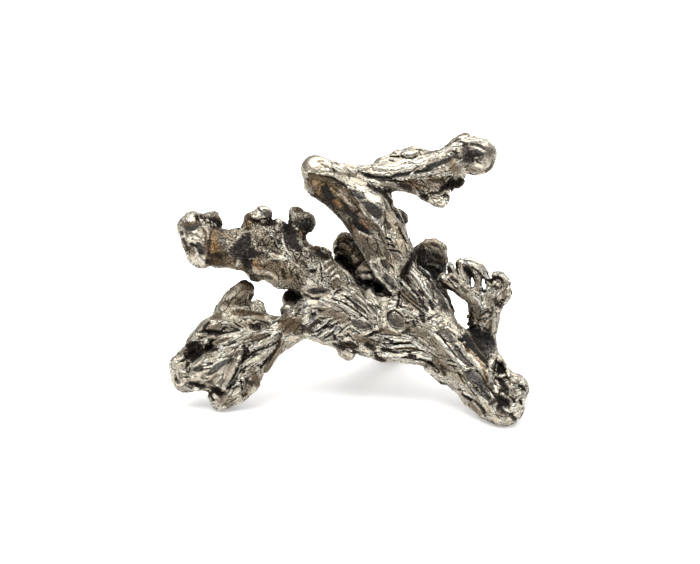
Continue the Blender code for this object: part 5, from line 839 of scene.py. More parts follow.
ZONES = [
    # speckled, pitted skin of the left branch
    ((267, 240, 21), (0.02, 0.34, 0.30, 0.06, 0.45, 0.85, 0.5)), ((228, 244, 17), (0.03, 0.10, 0.14, 0.05, 0.60, 1.0, 0.3)),
    ((300, 264, 15), (0.03, 0.28, 0.24, 0.06, 0.35, 0.80, 0.5)), ((280, 272, 13), (0.04, 0.14, 0.14, 0.05, 0.45, 0.95, 0.4)), ((328, 268, 12), (0.06, 0.16, 0.12, 0.05, 0.40, 0.80, 0.5)),
    # stained face of the mast
    ((322, 192, 12), (0.04, 0.16, 0.20, 0.05, 0.60, 1.0, 0.3)), ((338, 206, 12), (0.04, 0.16, 0.20, 0.05, 0.60, 1.0, 0.3)), ((354, 222, 12), (0.05, 0.12, 0.16, 0.05, 0.60, 1.0, 0.3)), ((370, 246, 15), (0.06, 0.12, 0.12, 0.05, 0.60, 0.85, 0.4)),
    # smooth caps
    ((193, 232, 18), (0.02, 0.015, 0.03, 0.015, 0.20, 0.15, 1.0)), ((200, 256, 13), (0.02, 0.05, 0.06, 0.02, 0.15, 0.30, 1.0)),
    ((316, 167, 19), (0.02, 0.02, 0.03, 0.012, 0.05, 0.10, 1.0)), ((341, 172, 11), (0.03, 0.03, 0.05, 0.02, 0.10, 0.25, 0.9)),
    ((478, 155, 22), (0.02, 0.03, 0.05, 0.018, 0.12, 0.20, 1.0)), ((400, 167, 18), (0.055, 0.02, 0.03, 0.015, 0.12, 0.18, 1.0)), ((435, 160, 15), (0.05, 0.02, 0.03, 0.015, 0.12, 0.18, 1.0)), ((376, 172, 12), (0.055, 0.03, 0.04, 0.015, 0.15, 0.25, 0.9)), ((263, 212, 10), (0.03, 0.04, 0.05, 0.02, 0.25, 0.45, 0.8)),
    ((430, 188, 18), (0.05, 0.14, 0.14, 0.04, 0.35, 0.75, 0.5)), ((455, 183, 11), (0.02, 0.20, 0.26, 0.06, 0.40, 1.0, 0.4)),
    ((346, 250, 20), (0.03, 0.20, 0.20, 0.05, 0.55, 1.0, 0.3)), ((480, 318, 18), (0.08, 0.14, 0.16, 0.04, 0.25, 0.70, 0.5)),
    ((188, 373, 19), (0.05, 0.06, 0.09, 0.03, 0.20, 0.35, 0.8)), ((246, 390, 16), (0.06, 0.08, 0.09, 0.03, 0.20, 0.45, 0.7)),
    ((240, 294, 14), (0.05, 0.10, 0.06, 0.03, 0.45, 0.50, 0.6)), ((250, 313, 16), (0.04, 0.10, 0.08, 0.05, 0.25, 0.55, 0.3)),
    ((286, 324, 14), (0.07, 0.06, 0.05, 0.03, 0.40, 0.55, 0.5)), ((520, 386, 14), (0.04, 0.12, 0.12, 0.03, 0.20, 0.50, 0.7)),
    ((500, 416, 14), (0.04, 0.06, 0.07, 0.03, 0.25, 0.40, 0.7)), ((444, 318, 12), (0.05, 0.06, 0.09, 0.03, 0.10, 0.35, 0.8)),
    ((384, 304, 11), (0.05, 0.05, 0.06, 0.02, 0.10, 0.35, 0.8)), ((368, 294, 8), (0.02, 0.01, 0.02, 0.01, 0.08, 0.15, 1.0)),
    ((214, 368, 15), (0.04, 0.03, 0.05, 0.02, 0.15, 0.25, 0.9)), ((232, 372, 10), (0.04, 0.03, 0.05, 0.02, 0.15, 0.30, 0.9)),
]
BACKS = [
    # the caps are as smooth and bright behind as in front
    ((316, 168, 25, 2), (0.03, 0.02, 0.04, 0.015, 0.10, 0.15, 1.0)), ((476, 156, 27, -6), (0.03, 0.02, 0.04, 0.015, 0.12, 0.20, 1.0)),
    ((194, 231, 24, -4), (0.03, 0.02, 0.04, 0.015, 0.20, 0.20, 1.0)), ((200, 252, 20, -4), (0.03, 0.03, 0.05, 0.02, 0.20, 0.30, 1.0)),
    ((186, 373, 22, -2), (0.04, 0.03, 0.05, 0.02, 0.20, 0.30, 0.9)), ((262, 211, 14, -8), (0.03, 0.03, 0.05, 0.02, 0.20, 0.35, 0.9)),
    ((503, 404, 26, 26), (0.05, 0.05, 0.06, 0.02, 0.20, 0.35, 0.9)), ((394, 343, 22, -118), (0.04, 0.04, 0.05, 0.02, 0.20, 0.30, 0.9)),
]


# ---------------------------------------------------------------- noise
_seed = np.random.RandomState(11)
TURN = _seed.permutation(256).astype(np.int32)
_g = _seed.normal(size=(256, 3))
PULL = (_g / np.linalg.norm(_g, axis=1)[:, None]).astype(np.float32)
SPOT = _seed.random_sample((256, 3)).astype(np.float32)


def hashed(i, j, k):
    return TURN[(TURN[(TURN[i & 255] + j) & 255] + k) & 255]


def wave(p):
    """Gradient noise, about -0.7 to 0.7."""
    cell = np.floor(p)
    f = (p - cell).astype(np.float32)
    cell = cell.astype(np.int32)
    w = f * f * f * (f * (f * 6.0 - 15.0) + 10.0)
    total = np.zeros(len(p), np.float32)
    for a in (0, 1):
        wa = w[:, 0] if a else 1.0 - w[:, 0]
        for b in (0, 1):
            wb = wa * (w[:, 1] if b else 1.0 - w[:, 1])
            for c in (0, 1):
                g = PULL[hashed(cell[:, 0] + a, cell[:, 1] + b, cell[:, 2] + c)]
                dot = (f[:, 0] - a) * g[:, 0] + (f[:, 1] - b) * g[:, 1] + (f[:, 2] - c) * g[:, 2]
                total += dot * wb * (w[:, 2] if c else 1.0 - w[:, 2])
    return total


def pebbles(p):
    """Cell noise: distances to the nearest and second nearest spots, and the nearest's tone."""
    cell = np.floor(p).astype(np.int32)
    near = np.full(len(p), 9.0, np.float32)
    next_ = np.full(len(p), 9.0, np.float32)
    tone = np.zeros(len(p), np.float32)
    for a in (-1, 0, 1):
        for b in (-1, 0, 1):
            for c in (-1, 0, 1):
                k = hashed(cell[:, 0] + a, cell[:, 1] + b, cell[:, 2] + c)
                s = SPOT[k]
                d = np.sqrt(
                    (cell[:, 0] + a + s[:, 0] - p[:, 0]) ** 2
                    + (cell[:, 1] + b + s[:, 1] - p[:, 1]) ** 2
                    + (cell[:, 2] + c + s[:, 2] - p[:, 2]) ** 2
                ).astype(np.float32)
                closer = d < near
                next_ = np.where(closer, near, np.minimum(next_, d))
                tone = np.where(closer, k / 255.0, tone).astype(np.float32)
                near = np.where(closer, d, near)
    return near, next_, tone


# ---------------------------------------------------------------- the distance field
LOW = np.array([-23.9, -13.9, -0.9])
HIGH = np.array([23.9, 13.9, 33.6])
SHAPE = np.ceil((HIGH - LOW) / CELL).astype(int) + 1
FAR = 3.0


def rod_distance(a, b, ra, rb, i0, i1):
    axes = [(LOW[c] + CELL * np.arange(i0[c], i1[c])).astype(np.float32) for c in range(3)]
    x = axes[0][:, None, None] - np.float32(a[0])
    y = axes[1][None, :, None] - np.float32(a[1])
    z = axes[2][None, None, :] - np.float32(a[2])
    ab = (b - a).astype(np.float32)
    length = float(ab @ ab)
    if length < 1e-9:
        return np.sqrt(x * x + y * y + z * z) - np.float32(ra)
    h = np.clip((x * ab[0] + y * ab[1] + z * ab[2]) / length, 0.0, 1.0)
    return (
        np.sqrt((x - h * ab[0]) ** 2 + (y - h * ab[1]) ** 2 + (z - h * ab[2]) ** 2)
        - (ra + (rb - ra) * h)
    ).astype(np.float32)


def window(a, b, reach):
    i0 = np.maximum(np.floor((np.minimum(a, b) - reach - LOW) / CELL).astype(int), 0)
    i1 = np.minimum(np.ceil((np.maximum(a, b) + reach - LOW) / CELL).astype(int) + 1, SHAPE)
    return i0, i1


def join(field, a, b, ra, rb, k, origin=(0, 0, 0)):
    i0, i1 = window(a, b, max(ra, rb) + k + 4 * CELL)
    d = rod_distance(a, b, ra, rb, i0, i1)
    part = field[tuple(slice(i0[c] - origin[c], i1[c] - origin[c]) for c in range(3))]
    h = np.clip(0.5 + 0.5 * (d - part) / k, 0.0, 1.0)
    part[...] = d + (part - d) * h - k * h * (1.0 - h)


def carve(field, a, b, ra, rb, k):
    i0, i1 = window(a, b, max(ra, rb) + k + 2 * CELL)
    d = -rod_distance(a, b, ra, rb, i0, i1)
    part = field[tuple(slice(i0[c], i1[c]) for c in range(3))]
    h = np.clip(0.5 - 0.5 * (d - part) / k, 0.0, 1.0)
    part[...] = d + (part - d) * h + k * h * (1.0 - h)


RODS = []             # every straight piece: node, ends, radii
NODE_BOX, NODE_FIELD = {}, {}
whole = np.full(SHAPE, FAR, np.float32)
for name in OLDEST_FIRST:
    mine = []
    for chain in BRANCHES[name]:
        at = [place(u, v, d) for u, v, d, r in chain]
        size = [radius(d, r) for u, v, d, r in chain]
        for i in range(len(chain) - 1):
            mine.append((name, at[i], at[i + 1], size[i], size[i + 1]))
    RODS += mine
    reach = max(max(m[3], m[4]) for m in mine) + 1.2
    low = np.min([np.minimum(m[1], m[2]) for m in mine], axis=0)
    high = np.max([np.maximum(m[1], m[2]) for m in mine], axis=0)
    i0, i1 = window(low, high, reach)
    own = np.full(i1 - i0, FAR, np.float32)
    for _, a, b, ra, rb in mine:
        j0, j1 = window(a, b, max(ra, rb) + BLEND + 4 * CELL)
        # the branch alone, without its neighbours
        j0, j1 = np.maximum(j0, i0), np.minimum(j1, i1)
        d = rod_distance(a, b, ra, rb, j0, j1)
        part = own[tuple(slice(j0[c] - i0[c], j1[c] - i0[c]) for c in range(3))]
        np.minimum(part, d, out=part)
        join(whole, a, b, ra, rb, BLEND)
    NODE_BOX[name], NODE_FIELD[name] = (i0, i1), own


def sample(field, points):
    """Trilinear reading of the field at points."""
    q = (points - LOW) / CELL
    q = np.clip(q, 0.0, np.array(field.shape) - 1.001)
    i = q.astype(np.int32)
    f = (q - i).astype(np.float32)
    out = np.zeros(len(points), np.float32)
    for a in (0, 1):
        wa = f[:, 0] if a else 1.0 - f[:, 0]
        for b in (0, 1):
            wb = wa * (f[:, 1] if b else 1.0 - f[:, 1])
            for c in (0, 1):
                out += wb * (f[:, 2] if c else 1.0 - f[:, 2]) * field[i[:, 0] + a, i[:, 1] + b, i[:, 2] + c]
    return out


def front_skin(field):
    """Depth d of the foremost skin over the sheet, one value per sheet unit."""
    near = np.argwhere(np.abs(field) < CELL)
    points = LOW + CELL * near
    u, v, d = sheet(points)
    skin = np.full((564, 700), -999.0, np.float32)
    for du in (-0.5, 0.5):
        for dv in (-0.5, 0.5):
            i = np.clip(np.round(v + dv).astype(int), 0, 563)
            j = np.clip(np.round(u + du).astype(int), 0, 699)
            np.maximum.at(skin, (i, j), d.astype(np.float32))
    return skin


skin = front_skin(whole)


def on_skin(u, v):
    i, j = int(round(v)), int(round(u))
    patch = skin[i - 1:i + 2, j - 1:j + 2]
    patch = patch[patch > -900]
    return float(np.median(patch)) if len(patch) else 0.0


for chain in LUMPS:
    at = [place(u, v, on_skin(u, v) + d) for u, v, d, r in chain]
    if len(at) == 1:
        at, chain = at * 2, chain * 2
    for i in range(len(at) - 1):
        join(whole, at[i], at[i + 1], chain[i][3] / UNIT, chain[i + 1][3] / UNIT, 0.22)
for chain in HOLLOWS:
    at = [place(u, v, on_skin(u, v) + d) for u, v, d, r in chain]
    if len(at) == 1:
        at, chain = at * 2, chain * 2
    for i in range(len(at) - 1):
        carve(whole, at[i], at[i + 1], chain[i][3] / UNIT, chain[i + 1][3] / UNIT, min(0.3, 0.11 + 0.04 * chain[i][3]))

for (near, far), *line in CUTS:
    line = line * 2 if len(line) == 1 else line
    for i in range(len(line) - 1):
        # to and fro through the branch, so that the cut is a slot and not a row of holes
        for t in (0.0, 0.25, 0.5, 0.75, 1.0):
            u, v, r = (line[i][c] + (line[i + 1][c] - line[i][c]) * t for c in range(3))
            carve(whole, place(u, v, near), place(u, v, far), r / UNIT, r / UNIT, 0.12)

# the worn flats under the feet
_z = (LOW[2] + CELL * np.arange(SHAPE[2])).astype(np.float32)[None, None, :]
_k = 0.25
_h = np.clip(0.5 - 0.5 * ((0.015 - _z) - whole) / _k, 0.0, 1.0)
whole = (0.015 - _z) + (whole - (0.015 - _z)) * _h + _k * _h * (1.0 - _h)
whole = whole.astype(np.float32)
skin = front_skin(whole)


# ---------------------------------------------------------------- one mesh per branch
SEAM = 0.10           # mm that neighbours run into each other at a fork


def overlap(box_a, box_b):
    i0, i1 = np.maximum(box_a[0], box_b[0]), np.minimum(box_a[1], box_b[1])
    return (i0, i1) if (i1 > i0).all() else None


def part_of(array, origin, i0, i1):
    return array[tuple(slice(i0[c] - origin[c], i1[c] - origin[c]) for c in range(3))]


def territory(name):
    """Field of the space that belongs to a branch: it ends where an older one begins."""
    box, own = NODE_BOX[name], NODE_FIELD[name]
    field = np.full(own.shape, -FAR, np.float32)
    rank = OLDEST_FIRST.index(name)
    for other in OLDEST_FIRST:
        both = None if other == name else overlap(box, NODE_BOX[other])
        if both is None:
            continue
        mine = part_of(own, box[0], *both)
        theirs = part_of(NODE_FIELD[other], NODE_BOX[other][0], *both)
        if rank < OLDEST_FIRST.index(other):
            edge = mine - np.maximum(theirs, 0.0)
        else:
            edge = np.maximum(mine, 0.0) - theirs
        spot = part_of(field, box[0], *both)
        np.maximum(spot, edge, out=spot)
    return field


def tidy(vertices, quads):
    """Keeps the largest body, and drops the rest as crumbs."""
    label = np.arange(len(vertices))
    edges = np.concatenate([quads[:, [0, 1]], quads[:, [1, 2]], quads[:, [2, 3]], quads[:, [3, 0]]])
    while True:
        low = np.minimum(label[edges[:, 0]], label[edges[:, 1]])
        new = label.copy()
        np.minimum.at(new, edges[:, 0], low)
        np.minimum.at(new, edges[:, 1], low)
        new = new[new]
        if (new == label).all():
            break
        label = new
    names, count = np.unique(label, return_counts=True)
    big = names[count == count.max()][:1]
    keep = np.isin(label, big)
    index = np.cumsum(keep) - 1
    kept = quads[keep[quads[:, 0]]]
    return vertices[keep], index[kept], sorted(count.tolist())[-4:]


def body_of(name):
    box = NODE_BOX[name]
    land = territory(name)
    field = np.maximum(part_of(whole, (0, 0, 0), *box), land - SEAM)
    pad = np.full(np.array(field.shape) + 2, FAR, np.float32)
    pad[1:-1, 1:-1, 1:-1] = field
    grid = vdb.FloatGrid(FAR)
    grid.copyFromArray(pad, tolerance=0.0)
    points, quads = grid.convertToQuads(isovalue=0.0)
    points = LOW + CELL * (box[0] + points.astype(np.float64) - 1.0)
    return tidy(points, quads.astype(np.int64))


VERTS, QUADS, SPAN = [], [], {}
_n = 0
for name in OLDEST_FIRST:
    points, quads, crumbs = body_of(name)
    print("body", name, len(points), len(quads), crumbs)
    VERTS.append(points)
    QUADS.append(quads)
    SPAN[name] = (_n, _n + len(points))
    _n += len(points)
P = np.concatenate(VERTS)
print("vertices", len(P), "triangles", 2 * sum(len(q) for q in QUADS))

# outward normals from the field, so that neighbours agree at the forks
N = np.zeros_like(P)
for c in range(3):
    step = np.zeros(3)
    step[c] = 0.14
    N[:, c] = sample(whole, P + step) - sample(whole, P - step)
N /= np.maximum(np.linalg.norm(N, axis=1), 1e-6)[:, None]
outer = smooth(-0.30, -0.03, sample(whole, P)).astype(np.float32)

U_, V_, D_ = sheet(P)
_i = np.clip(np.round(V_).astype(int), 0, 563)
_j = np.clip(np.round(U_).astype(int), 0, 699)
facing = smooth(0.10, 0.45, N @ FRONT)
shown = (facing * smooth(-9.0, -5.0, D_ - skin[_i, _j])).astype(np.float32)


# ---------------------------------------------------------------- the grain's direction
T = np.zeros_like(P)
nearest = np.full(len(P), 99.0, np.float32)
for _, a, b, ra, rb in RODS:
    ab = b - a
    length = np.linalg.norm(ab)
    if length < 0.05:
        continue
    h = np.clip((P - a) @ ab / length**2, 0.0, 1.0)
    nearest = np.minimum(nearest, np.linalg.norm(P - a - h[:, None] * ab, axis=1) - (ra + (rb - ra) * h))
for _, a, b, ra, rb in RODS:
    ab = b - a
    length = np.linalg.norm(ab)
    if length < 0.05:
        continue
    h = np.clip((P - a) @ ab / length**2, 0.0, 1.0)
    d = np.linalg.norm(P - a - h[:, None] * ab, axis=1) - (ra + (rb - ra) * h)
    w = np.exp(-(d - nearest) / 0.35) * min(length, 3.0)
    t = ab / length
    if t[0] < 0:
        t = -t
    T += w[:, None] * t
front_ids = np.nonzero(shown > 0.02)[0]
FU, FV = U_[front_ids], V_[front_ids]


def near_line(points, half):
    """Front vertices within reach of a line: ids, distance over half, and how far along."""
    pts = np.array(points, float)
    low, high = pts.min(0) - half, pts.max(0) + half
    hit = np.nonzero((FU > low[0]) & (FU < high[0]) & (FV > low[1]) & (FV < high[1]))[0]
    best = np.full(len(hit), 1e9)
    along = np.zeros(len(hit))
    run = 0.0
    total = max(np.linalg.norm(np.diff(pts, axis=0), axis=1).sum(), 1e-6)
    for i in range(len(pts) - 1):
        a, b = pts[i], pts[i + 1]
        ab = b - a
        length = max(np.linalg.norm(ab), 1e-6)
        t = np.clip(((FU[hit] - a[0]) * ab[0] + (FV[hit] - a[1]) * ab[1]) / length**2, 0.0, 1.0)
        d = np.hypot(FU[hit] - a[0] - t * ab[0], FV[hit] - a[1] - t * ab[1])
        closer = d < best
        best = np.where(closer, d, best)
        along = np.where(closer, (run + t * length) / total, along)
        run += length
    keep = best < half
    return front_ids[hit[keep]], best[keep] / half, along[keep]


T /= np.maximum(np.linalg.norm(T, axis=1), 1e-6)[:, None]
for half, *line in FLOWS:
    for i in range(len(line) - 1):
        (u0, v0), (u1, v1) = line[i], line[i + 1]
        way = RIGHT * (u1 - u0) - UP * (v1 - v0)
        way /= np.linalg.norm(way)
        ids, dist, along = near_line([line[i], line[i + 1]], half)
        w = (1.0 - dist**2) ** 2 * shown[ids] * 3.0
        sign = np.sign(T[ids] @ way)
        sign[sign == 0] = 1.0
        T[ids] += w[:, None] * sign[:, None] * way
T -= (T * N).sum(1)[:, None] * N
_len = np.linalg.norm(T, axis=1)
T /= np.maximum(_len, 1e-4)[:, None]


def drawn(freq, length, taps, offset):
    """Noise drawn out along the grain."""
    total = np.zeros(len(P), np.float32)
    weight = 0.0
    for k in np.linspace(-1.0, 1.0, taps):
        w = 1.0 - 0.7 * abs(k)
        total += w * wave((P + T * (k * length * 0.5)) * freq + offset)
        weight += w
    return total / weight

# ---------------------------------------------------------------- how each branch is finished
# ridges, cobbles, pits, fine grain (mm of relief), tarnish, brown dirt with painted shade, polish
FINISH = {
    "hub": (0.17, 0.06, 0.08, 0.030, 0.30, 0.50, 0.5),
    "mast": (0.12, 0.06, 0.08, 0.030, 0.40, 0.45, 0.5),
    "top_arm": (0.15, 0.05, 0.06, 0.025, 0.20, 0.35, 0.6),
    "left_branch": (0.05, 0.17, 0.12, 0.040, 0.50, 0.60, 0.3),
    "lower_left_frond": (0.14, 0.09, 0.08, 0.030, 0.25, 0.45, 0.6),
    "right_leg": (0.15, 0.09, 0.10, 0.030, 0.30, 0.45, 0.5),
    "right_frond": (0.06, 0.11, 0.09, 0.030, 0.18, 0.38, 0.6),
    "rear_leg": (0.14, 0.10, 0.10, 0.030, 0.40, 0.55, 0.4),
    "rear_knob": (0.09, 0.05, 0.05, 0.025, 0.75, 0.50, 0.5),
    "rear_spur": (0.09, 0.15, 0.11, 0.035, 0.55, 0.90, 0.3),
}
kind = np.zeros((len(P), 7), np.float32)
for name, values in FINISH.items():
    kind[SPAN[name][0]:SPAN[name][1]] = values
for (u, v, r), values in ZONES:
    centre = place(u, v, on_skin(u, v) - 0.3 * r)
    w = smooth(1.0, 0.55, np.linalg.norm(P - centre, axis=1) / (r / UNIT)).astype(np.float32)
    kind += w[:, None] * (np.array(values, np.float32) - kind)
# sides that the front doesn't show change between worn, cobbled and bladed skin
away = (1.0 - shown)[:, None]
drift = wave(P * 0.30 + 21.0)[:, None]
kind += away * smooth(0.10, 0.30, drift) * (np.array((0.03, 0.06, 0.06, 0.02, 0.20, 0.30, 0.9), np.float32) - kind)
kind += away * smooth(-0.08, -0.26, drift) * (np.array((0.06, 0.14, 0.14, 0.04, 0.50, 0.80, 0.4), np.float32) - kind)
for (u, v, r, d), values in BACKS:
    w = smooth(1.0, 0.6, np.linalg.norm(P - place(u, v, d), axis=1) / (r / UNIT)).astype(np.float32) * away[:, 0]
    kind += w[:, None] * (np.array(values, np.float32) - kind)
ridge_mm, cobble_mm, pit_mm, fine_mm, tarnish, grime_and_shade, polish = kind.T

# ---------------------------------------------------------------- relief
g1 = drawn(1.35, 2.6, 11, 3.3) / 0.085
g2 = drawn(2.9, 1.5, 9, 7.7) / 0.085
lump = wave(P * 0.42 + 5.1)
warp = np.stack([wave(P * 0.9 + k) for k in (1.7, 4.4, 8.2)], axis=1) * 0.35
near1, next1, tone1 = pebbles(P * 1.05 + warp)
near2, next2, tone2 = pebbles(P * 2.3 + warp * 3.2)
grain = wave(P * 4.2 + 2.0)
grit = wave(P * 8.5 + 6.0)

ridges = np.tanh(g1 * 0.8) * 0.50 - np.exp(-(g1 / 0.26) ** 2) * 0.36
ridges += np.tanh(g2) * 0.34 - np.exp(-(g2 / 0.25) ** 2) * 0.24
cobbles = 0.8 - 1.4 * near1**2 - 0.45 * np.exp(-((next1 - near1) / 0.12) ** 2) * smooth(-0.25, 0.2, lump)
cobbles += 0.7 * (0.5 - near2) - 0.30 * np.exp(-((next2 - near2) / 0.14) ** 2)
pits = -smooth(0.42, 0.12, near2) * smooth(0.45, 0.75, tone2) * 1.6
# long flutes along the sides that no mark describes
flutes = np.tanh(drawn(0.75, 4.0, 7, 13.1) / 0.085 * 0.9) * smooth(0.05, -0.35, N @ FRONT) * 0.20
relief = (
    ridge_mm * ridges + cobble_mm * cobbles + pit_mm * pits
    + fine_mm * (grain * 2.8 + grit * 2.0) + 0.16 * lump + flutes
).astype(np.float32)
hollowness = np.clip(-(ridge_mm * ridges + cobble_mm * cobbles + pit_mm * pits + 0.7 * flutes) / 0.11, -1.0, 1.5)

flat = np.zeros(len(P), np.float32)      # how much of the relief a facet has planed away
facet_reflection = np.zeros(len(P), np.float32)     # painted dark reflection on the facet: how dark and polished it lies
rim = np.zeros(len(P), np.float32)
shift = np.zeros(len(P), np.float32)     # relief of plates and listed marks
drawn_low = np.zeros(len(P), np.float32)
drawn_high = np.zeros(len(P), np.float32)

BIN = 1.0
_key = np.floor((P - LOW) / BIN).astype(np.int64)
_key = (_key[:, 0] * 1024 + _key[:, 1]) * 1024 + _key[:, 2]
_rank = np.argsort(_key, kind="stable")
_keys = _key[_rank]


def around(centre, reach):
    low = np.maximum(np.floor((centre - reach - LOW) / BIN).astype(int), 0)
    high = np.maximum(np.floor((centre + reach - LOW) / BIN).astype(int), 0)
    runs = []
    for i in range(low[0], high[0] + 1):
        for j in range(low[1], high[1] + 1):
            base = (i * 1024 + j) * 1024
            start, stop = np.searchsorted(_keys, (base + low[2], base + high[2] + 1))
            if stop > start:
                runs.append(_rank[start:stop])
    return np.concatenate(runs) if runs else np.zeros(0, int)


def plate(centre, normal, way, a, b, rise, tilt, dark, kind_of, blunt=0.45, crevice=0.07, lip=0.03, only=None):
    """A long thin plate of silver lying along way: flat and tilted, roofed, or scooped,
    with a lip along its edge and a crevice round it. Its darkness, dark, is a painted dark reflection on its face."""
    side = np.cross(normal, way)
    ids = around(centre, a * 1.3)
    if only is not None:
        ids = ids[only[ids] > 0.05]
    rel = P[ids] - centre
    up = rel @ normal
    t, s = rel @ way / a, rel @ side / b
    q = np.sqrt(t**2 + (s / np.maximum(1.0 - blunt * t**2, 0.3)) ** 2)
    ok = (np.abs(up) < 0.35 + 0.45 * a) & (N[ids] @ normal > 0.25) & (q < 1.45)
    ids, q, t, s = ids[ok], q[ok], t[ok], s[ok]
    if len(ids) < 3:
        return
    w = smooth(1.05, 0.93, q)
    if kind_of == 0:
        h = rise + tilt * s * b
    elif kind_of == 1:
        h = rise * (1.6 - 1.9 * np.abs(s) ** 1.2) + tilt * s * b
    else:
        h = -rise * (1.0 - 1.3 * s**2)
    h = h + lip * np.exp(-((q - 0.97) / 0.09) ** 2)
    gap = np.exp(-((q - 1.16) / 0.10) ** 2)
    if only is not None:
        w = w * only[ids]
        gap = gap * only[ids]
    shift[ids] = shift[ids] * (1.0 - w) + w * h - crevice * gap
    flat[ids] = flat[ids] * (1.0 - w) + w * 0.75
    facet_reflection[ids] = facet_reflection[ids] * (1.0 - w) + w * dark
    edge = np.exp(-((q - 0.97) / 0.10) ** 2)
    rim[ids] = np.maximum(rim[ids] * (1.0 - w), edge * min(1.0, lip / 0.03))
    drawn_low[ids] = np.maximum(drawn_low[ids] * (1.0 - w), gap * min(1.0, crevice / 0.09) * 0.9)


# the branches are built of such plates, laid over each other along the grain
_pick = np.random.RandomState(5)
for i in _pick.permutation(len(P))[:PLATES]:
    if outer[i] < 0.9 or _pick.random_sample() > (ridge_mm[i] - 0.03) / 0.11:
        continue
    way = T[i] + 0.30 * _pick.normal(size=3)
    way -= (way @ N[i]) * N[i]
    way /= max(np.linalg.norm(way), 1e-6)
    a = 0.55 + 1.5 * _pick.random_sample() ** 1.5
    b = 0.20 + 0.13 * a + 0.18 * _pick.random_sample()
    form = int(_pick.choice([0, 0, 0, 1, 1, 2]))
    # painted dark reflection of the plate
    dark = _pick.random_sample() ** 1.4 if form != 1 else 0.0
    plate(P[i], N[i], way, a, b, 0.05 + 0.07 * _pick.random_sample(), 0.30 * (2 * _pick.random_sample() - 1),
          0.9 * dark, form, crevice=0.04 + 0.06 * _pick.random_sample())

# wider plates and sunk scoops on the sides that the front doesn't show, the scoops with a strong painted dark
# reflection
hidden = (1.0 - shown).astype(np.float32)
for i in _pick.permutation(len(P))[:300]:
    if outer[i] < 0.9 or shown[i] > 0.02 or polish[i] > 0.88:
        continue
    way = T[i] + 0.35 * _pick.normal(size=3)
    way -= (way @ N[i]) * N[i]
    way /= max(np.linalg.norm(way), 1e-6)
    a = 1.0 + 1.6 * _pick.random_sample()
    b = a * (0.24 + 0.16 * _pick.random_sample())
    if _pick.random_sample() < 0.4:
        plate(P[i], N[i], way, a, b, -0.07, 0.0, 0.95, 0, crevice=0.0, lip=0.06, only=hidden)
    else:
        plate(P[i], N[i], way, a, b, 0.12, 0.25 * (2 * _pick.random_sample() - 1), 0.35 * _pick.random_sample(), 0,
              crevice=0.10, lip=0.035, only=hidden)


def front_point(u, v):
    k = front_ids[np.argmin((FU - u) ** 2 + (FV - v) ** 2 + 4.0 * (1 - shown[front_ids]))]
    return P[k], N[k]


def between(a, b):
    """Centre, normal, direction and length of a mark on the front from a to b."""
    pa, _ = front_point(*a)
    pb, _ = front_point(*b)
    pc, normal = front_point((a[0] + b[0]) / 2, (a[1] + b[1]) / 2)
    way = pb - pa
    length = np.linalg.norm(way)
    way /= max(length, 1e-6)
    normal = normal + 0.6 * FRONT
    normal -= (normal @ way) * way
    normal /= np.linalg.norm(normal)
    centre = (pa + pb) / 2
    centre += normal * ((pc - centre) @ normal) * 0.6
    return centre, normal, way, length


# plates that show on the front: half width, rise, tilt, darkness of the painted reflection, form, ends
for half, rise, tilt, dark, form, a, b in BLADES:
    centre, normal, way, length = between(a, b)
    plate(centre, normal, way, length / 2, half / UNIT, rise, tilt, dark, form, blunt=0.55, crevice=0.11, lip=0.035, only=shown)
for half, depth, dark, a, b in LENSES:
    centre, normal, way, length = between(a, b)
    plate(centre, normal, way, length / 2, half / UNIT, -depth, 0.0, dark, 0, crevice=0.0, lip=0.06, only=shown)

for half, rise, *line in RIDGES:
    ids, dist, along = near_line(line, half)
    w = (1.0 - dist**1.6) ** 1.5 * smooth(0.0, 0.12, along) * smooth(1.0, 0.88, along) * shown[ids]
    w *= 0.8 + 0.5 * grain[ids]
    shift[ids] += rise * w
    flat[ids] = np.maximum(flat[ids], 0.6 * w)
    drawn_high[ids] = np.maximum(drawn_high[ids], w * min(1.0, rise / 0.15))
for half, drop, *line in GROOVES:
    ids, dist, along = near_line(line, half)
    w = (1.0 - dist) ** 0.9 * smooth(0.0, 0.10, along) * smooth(1.0, 0.90, along) * shown[ids]
    w *= 0.85 + 0.5 * grain[ids]
    shift[ids] -= drop * w
    drawn_low[ids] = np.maximum(drawn_low[ids], w * min(1.0, drop / 0.18))

height = outer * (relief * (1.0 - 0.85 * flat) + shift)
height = np.clip(height, -0.55, 0.35)
Q = P + N * height[:, None]
Q[:, 2] = np.maximum(Q[:, 2], 0.0)

# ---------------------------------------------------------------- wear, painted highlight and painted shade
# raised edges rub bright with wear and carry a painted highlight; inner corners get painted shade
_e = np.concatenate([
    (quads + SPAN[name][0])[:, pair]
    for name, quads in zip(OLDEST_FIRST, QUADS) for pair in ([0, 1], [1, 2], [2, 3], [3, 0])])
_from, _to = _e[:, 0], _e[:, 1]
_ends = np.maximum(np.bincount(_from, minlength=len(P)) + np.bincount(_to, minlength=len(P)), 1)


def eased(x, times):
    for _ in range(times):
        x = 0.5 * x + 0.5 * (np.bincount(_from, x[_to], len(P)) + np.bincount(_to, x[_from], len(P))) / _ends
    return x


def stand_out(times):
    return sum((Q[:, c] - eased(Q[:, c], times)) * N[:, c] for c in range(3)) / CELL


crisp, broad = stand_out(2), stand_out(14)
print("crisp", np.percentile(crisp, [2, 10, 25, 50, 75, 90, 98]).round(3), "broad", np.percentile(broad, [2, 10, 25, 50, 75, 90, 98]).round(3))
edge_wear_and_highlight = np.clip(0.6 * smooth(0.04, 0.22, crisp) + 0.6 * smooth(0.10, 0.70, broad), 0.0, 1.0) * outer
painted_corner_shade = np.clip(0.6 * smooth(-0.04, -0.22, crisp) + 0.7 * smooth(-0.05, -0.55, broad), 0.0, 1.0) * outer
painted_corner_shade *= 1.0 - 0.7 * smooth(0.75, 1.0, polish)

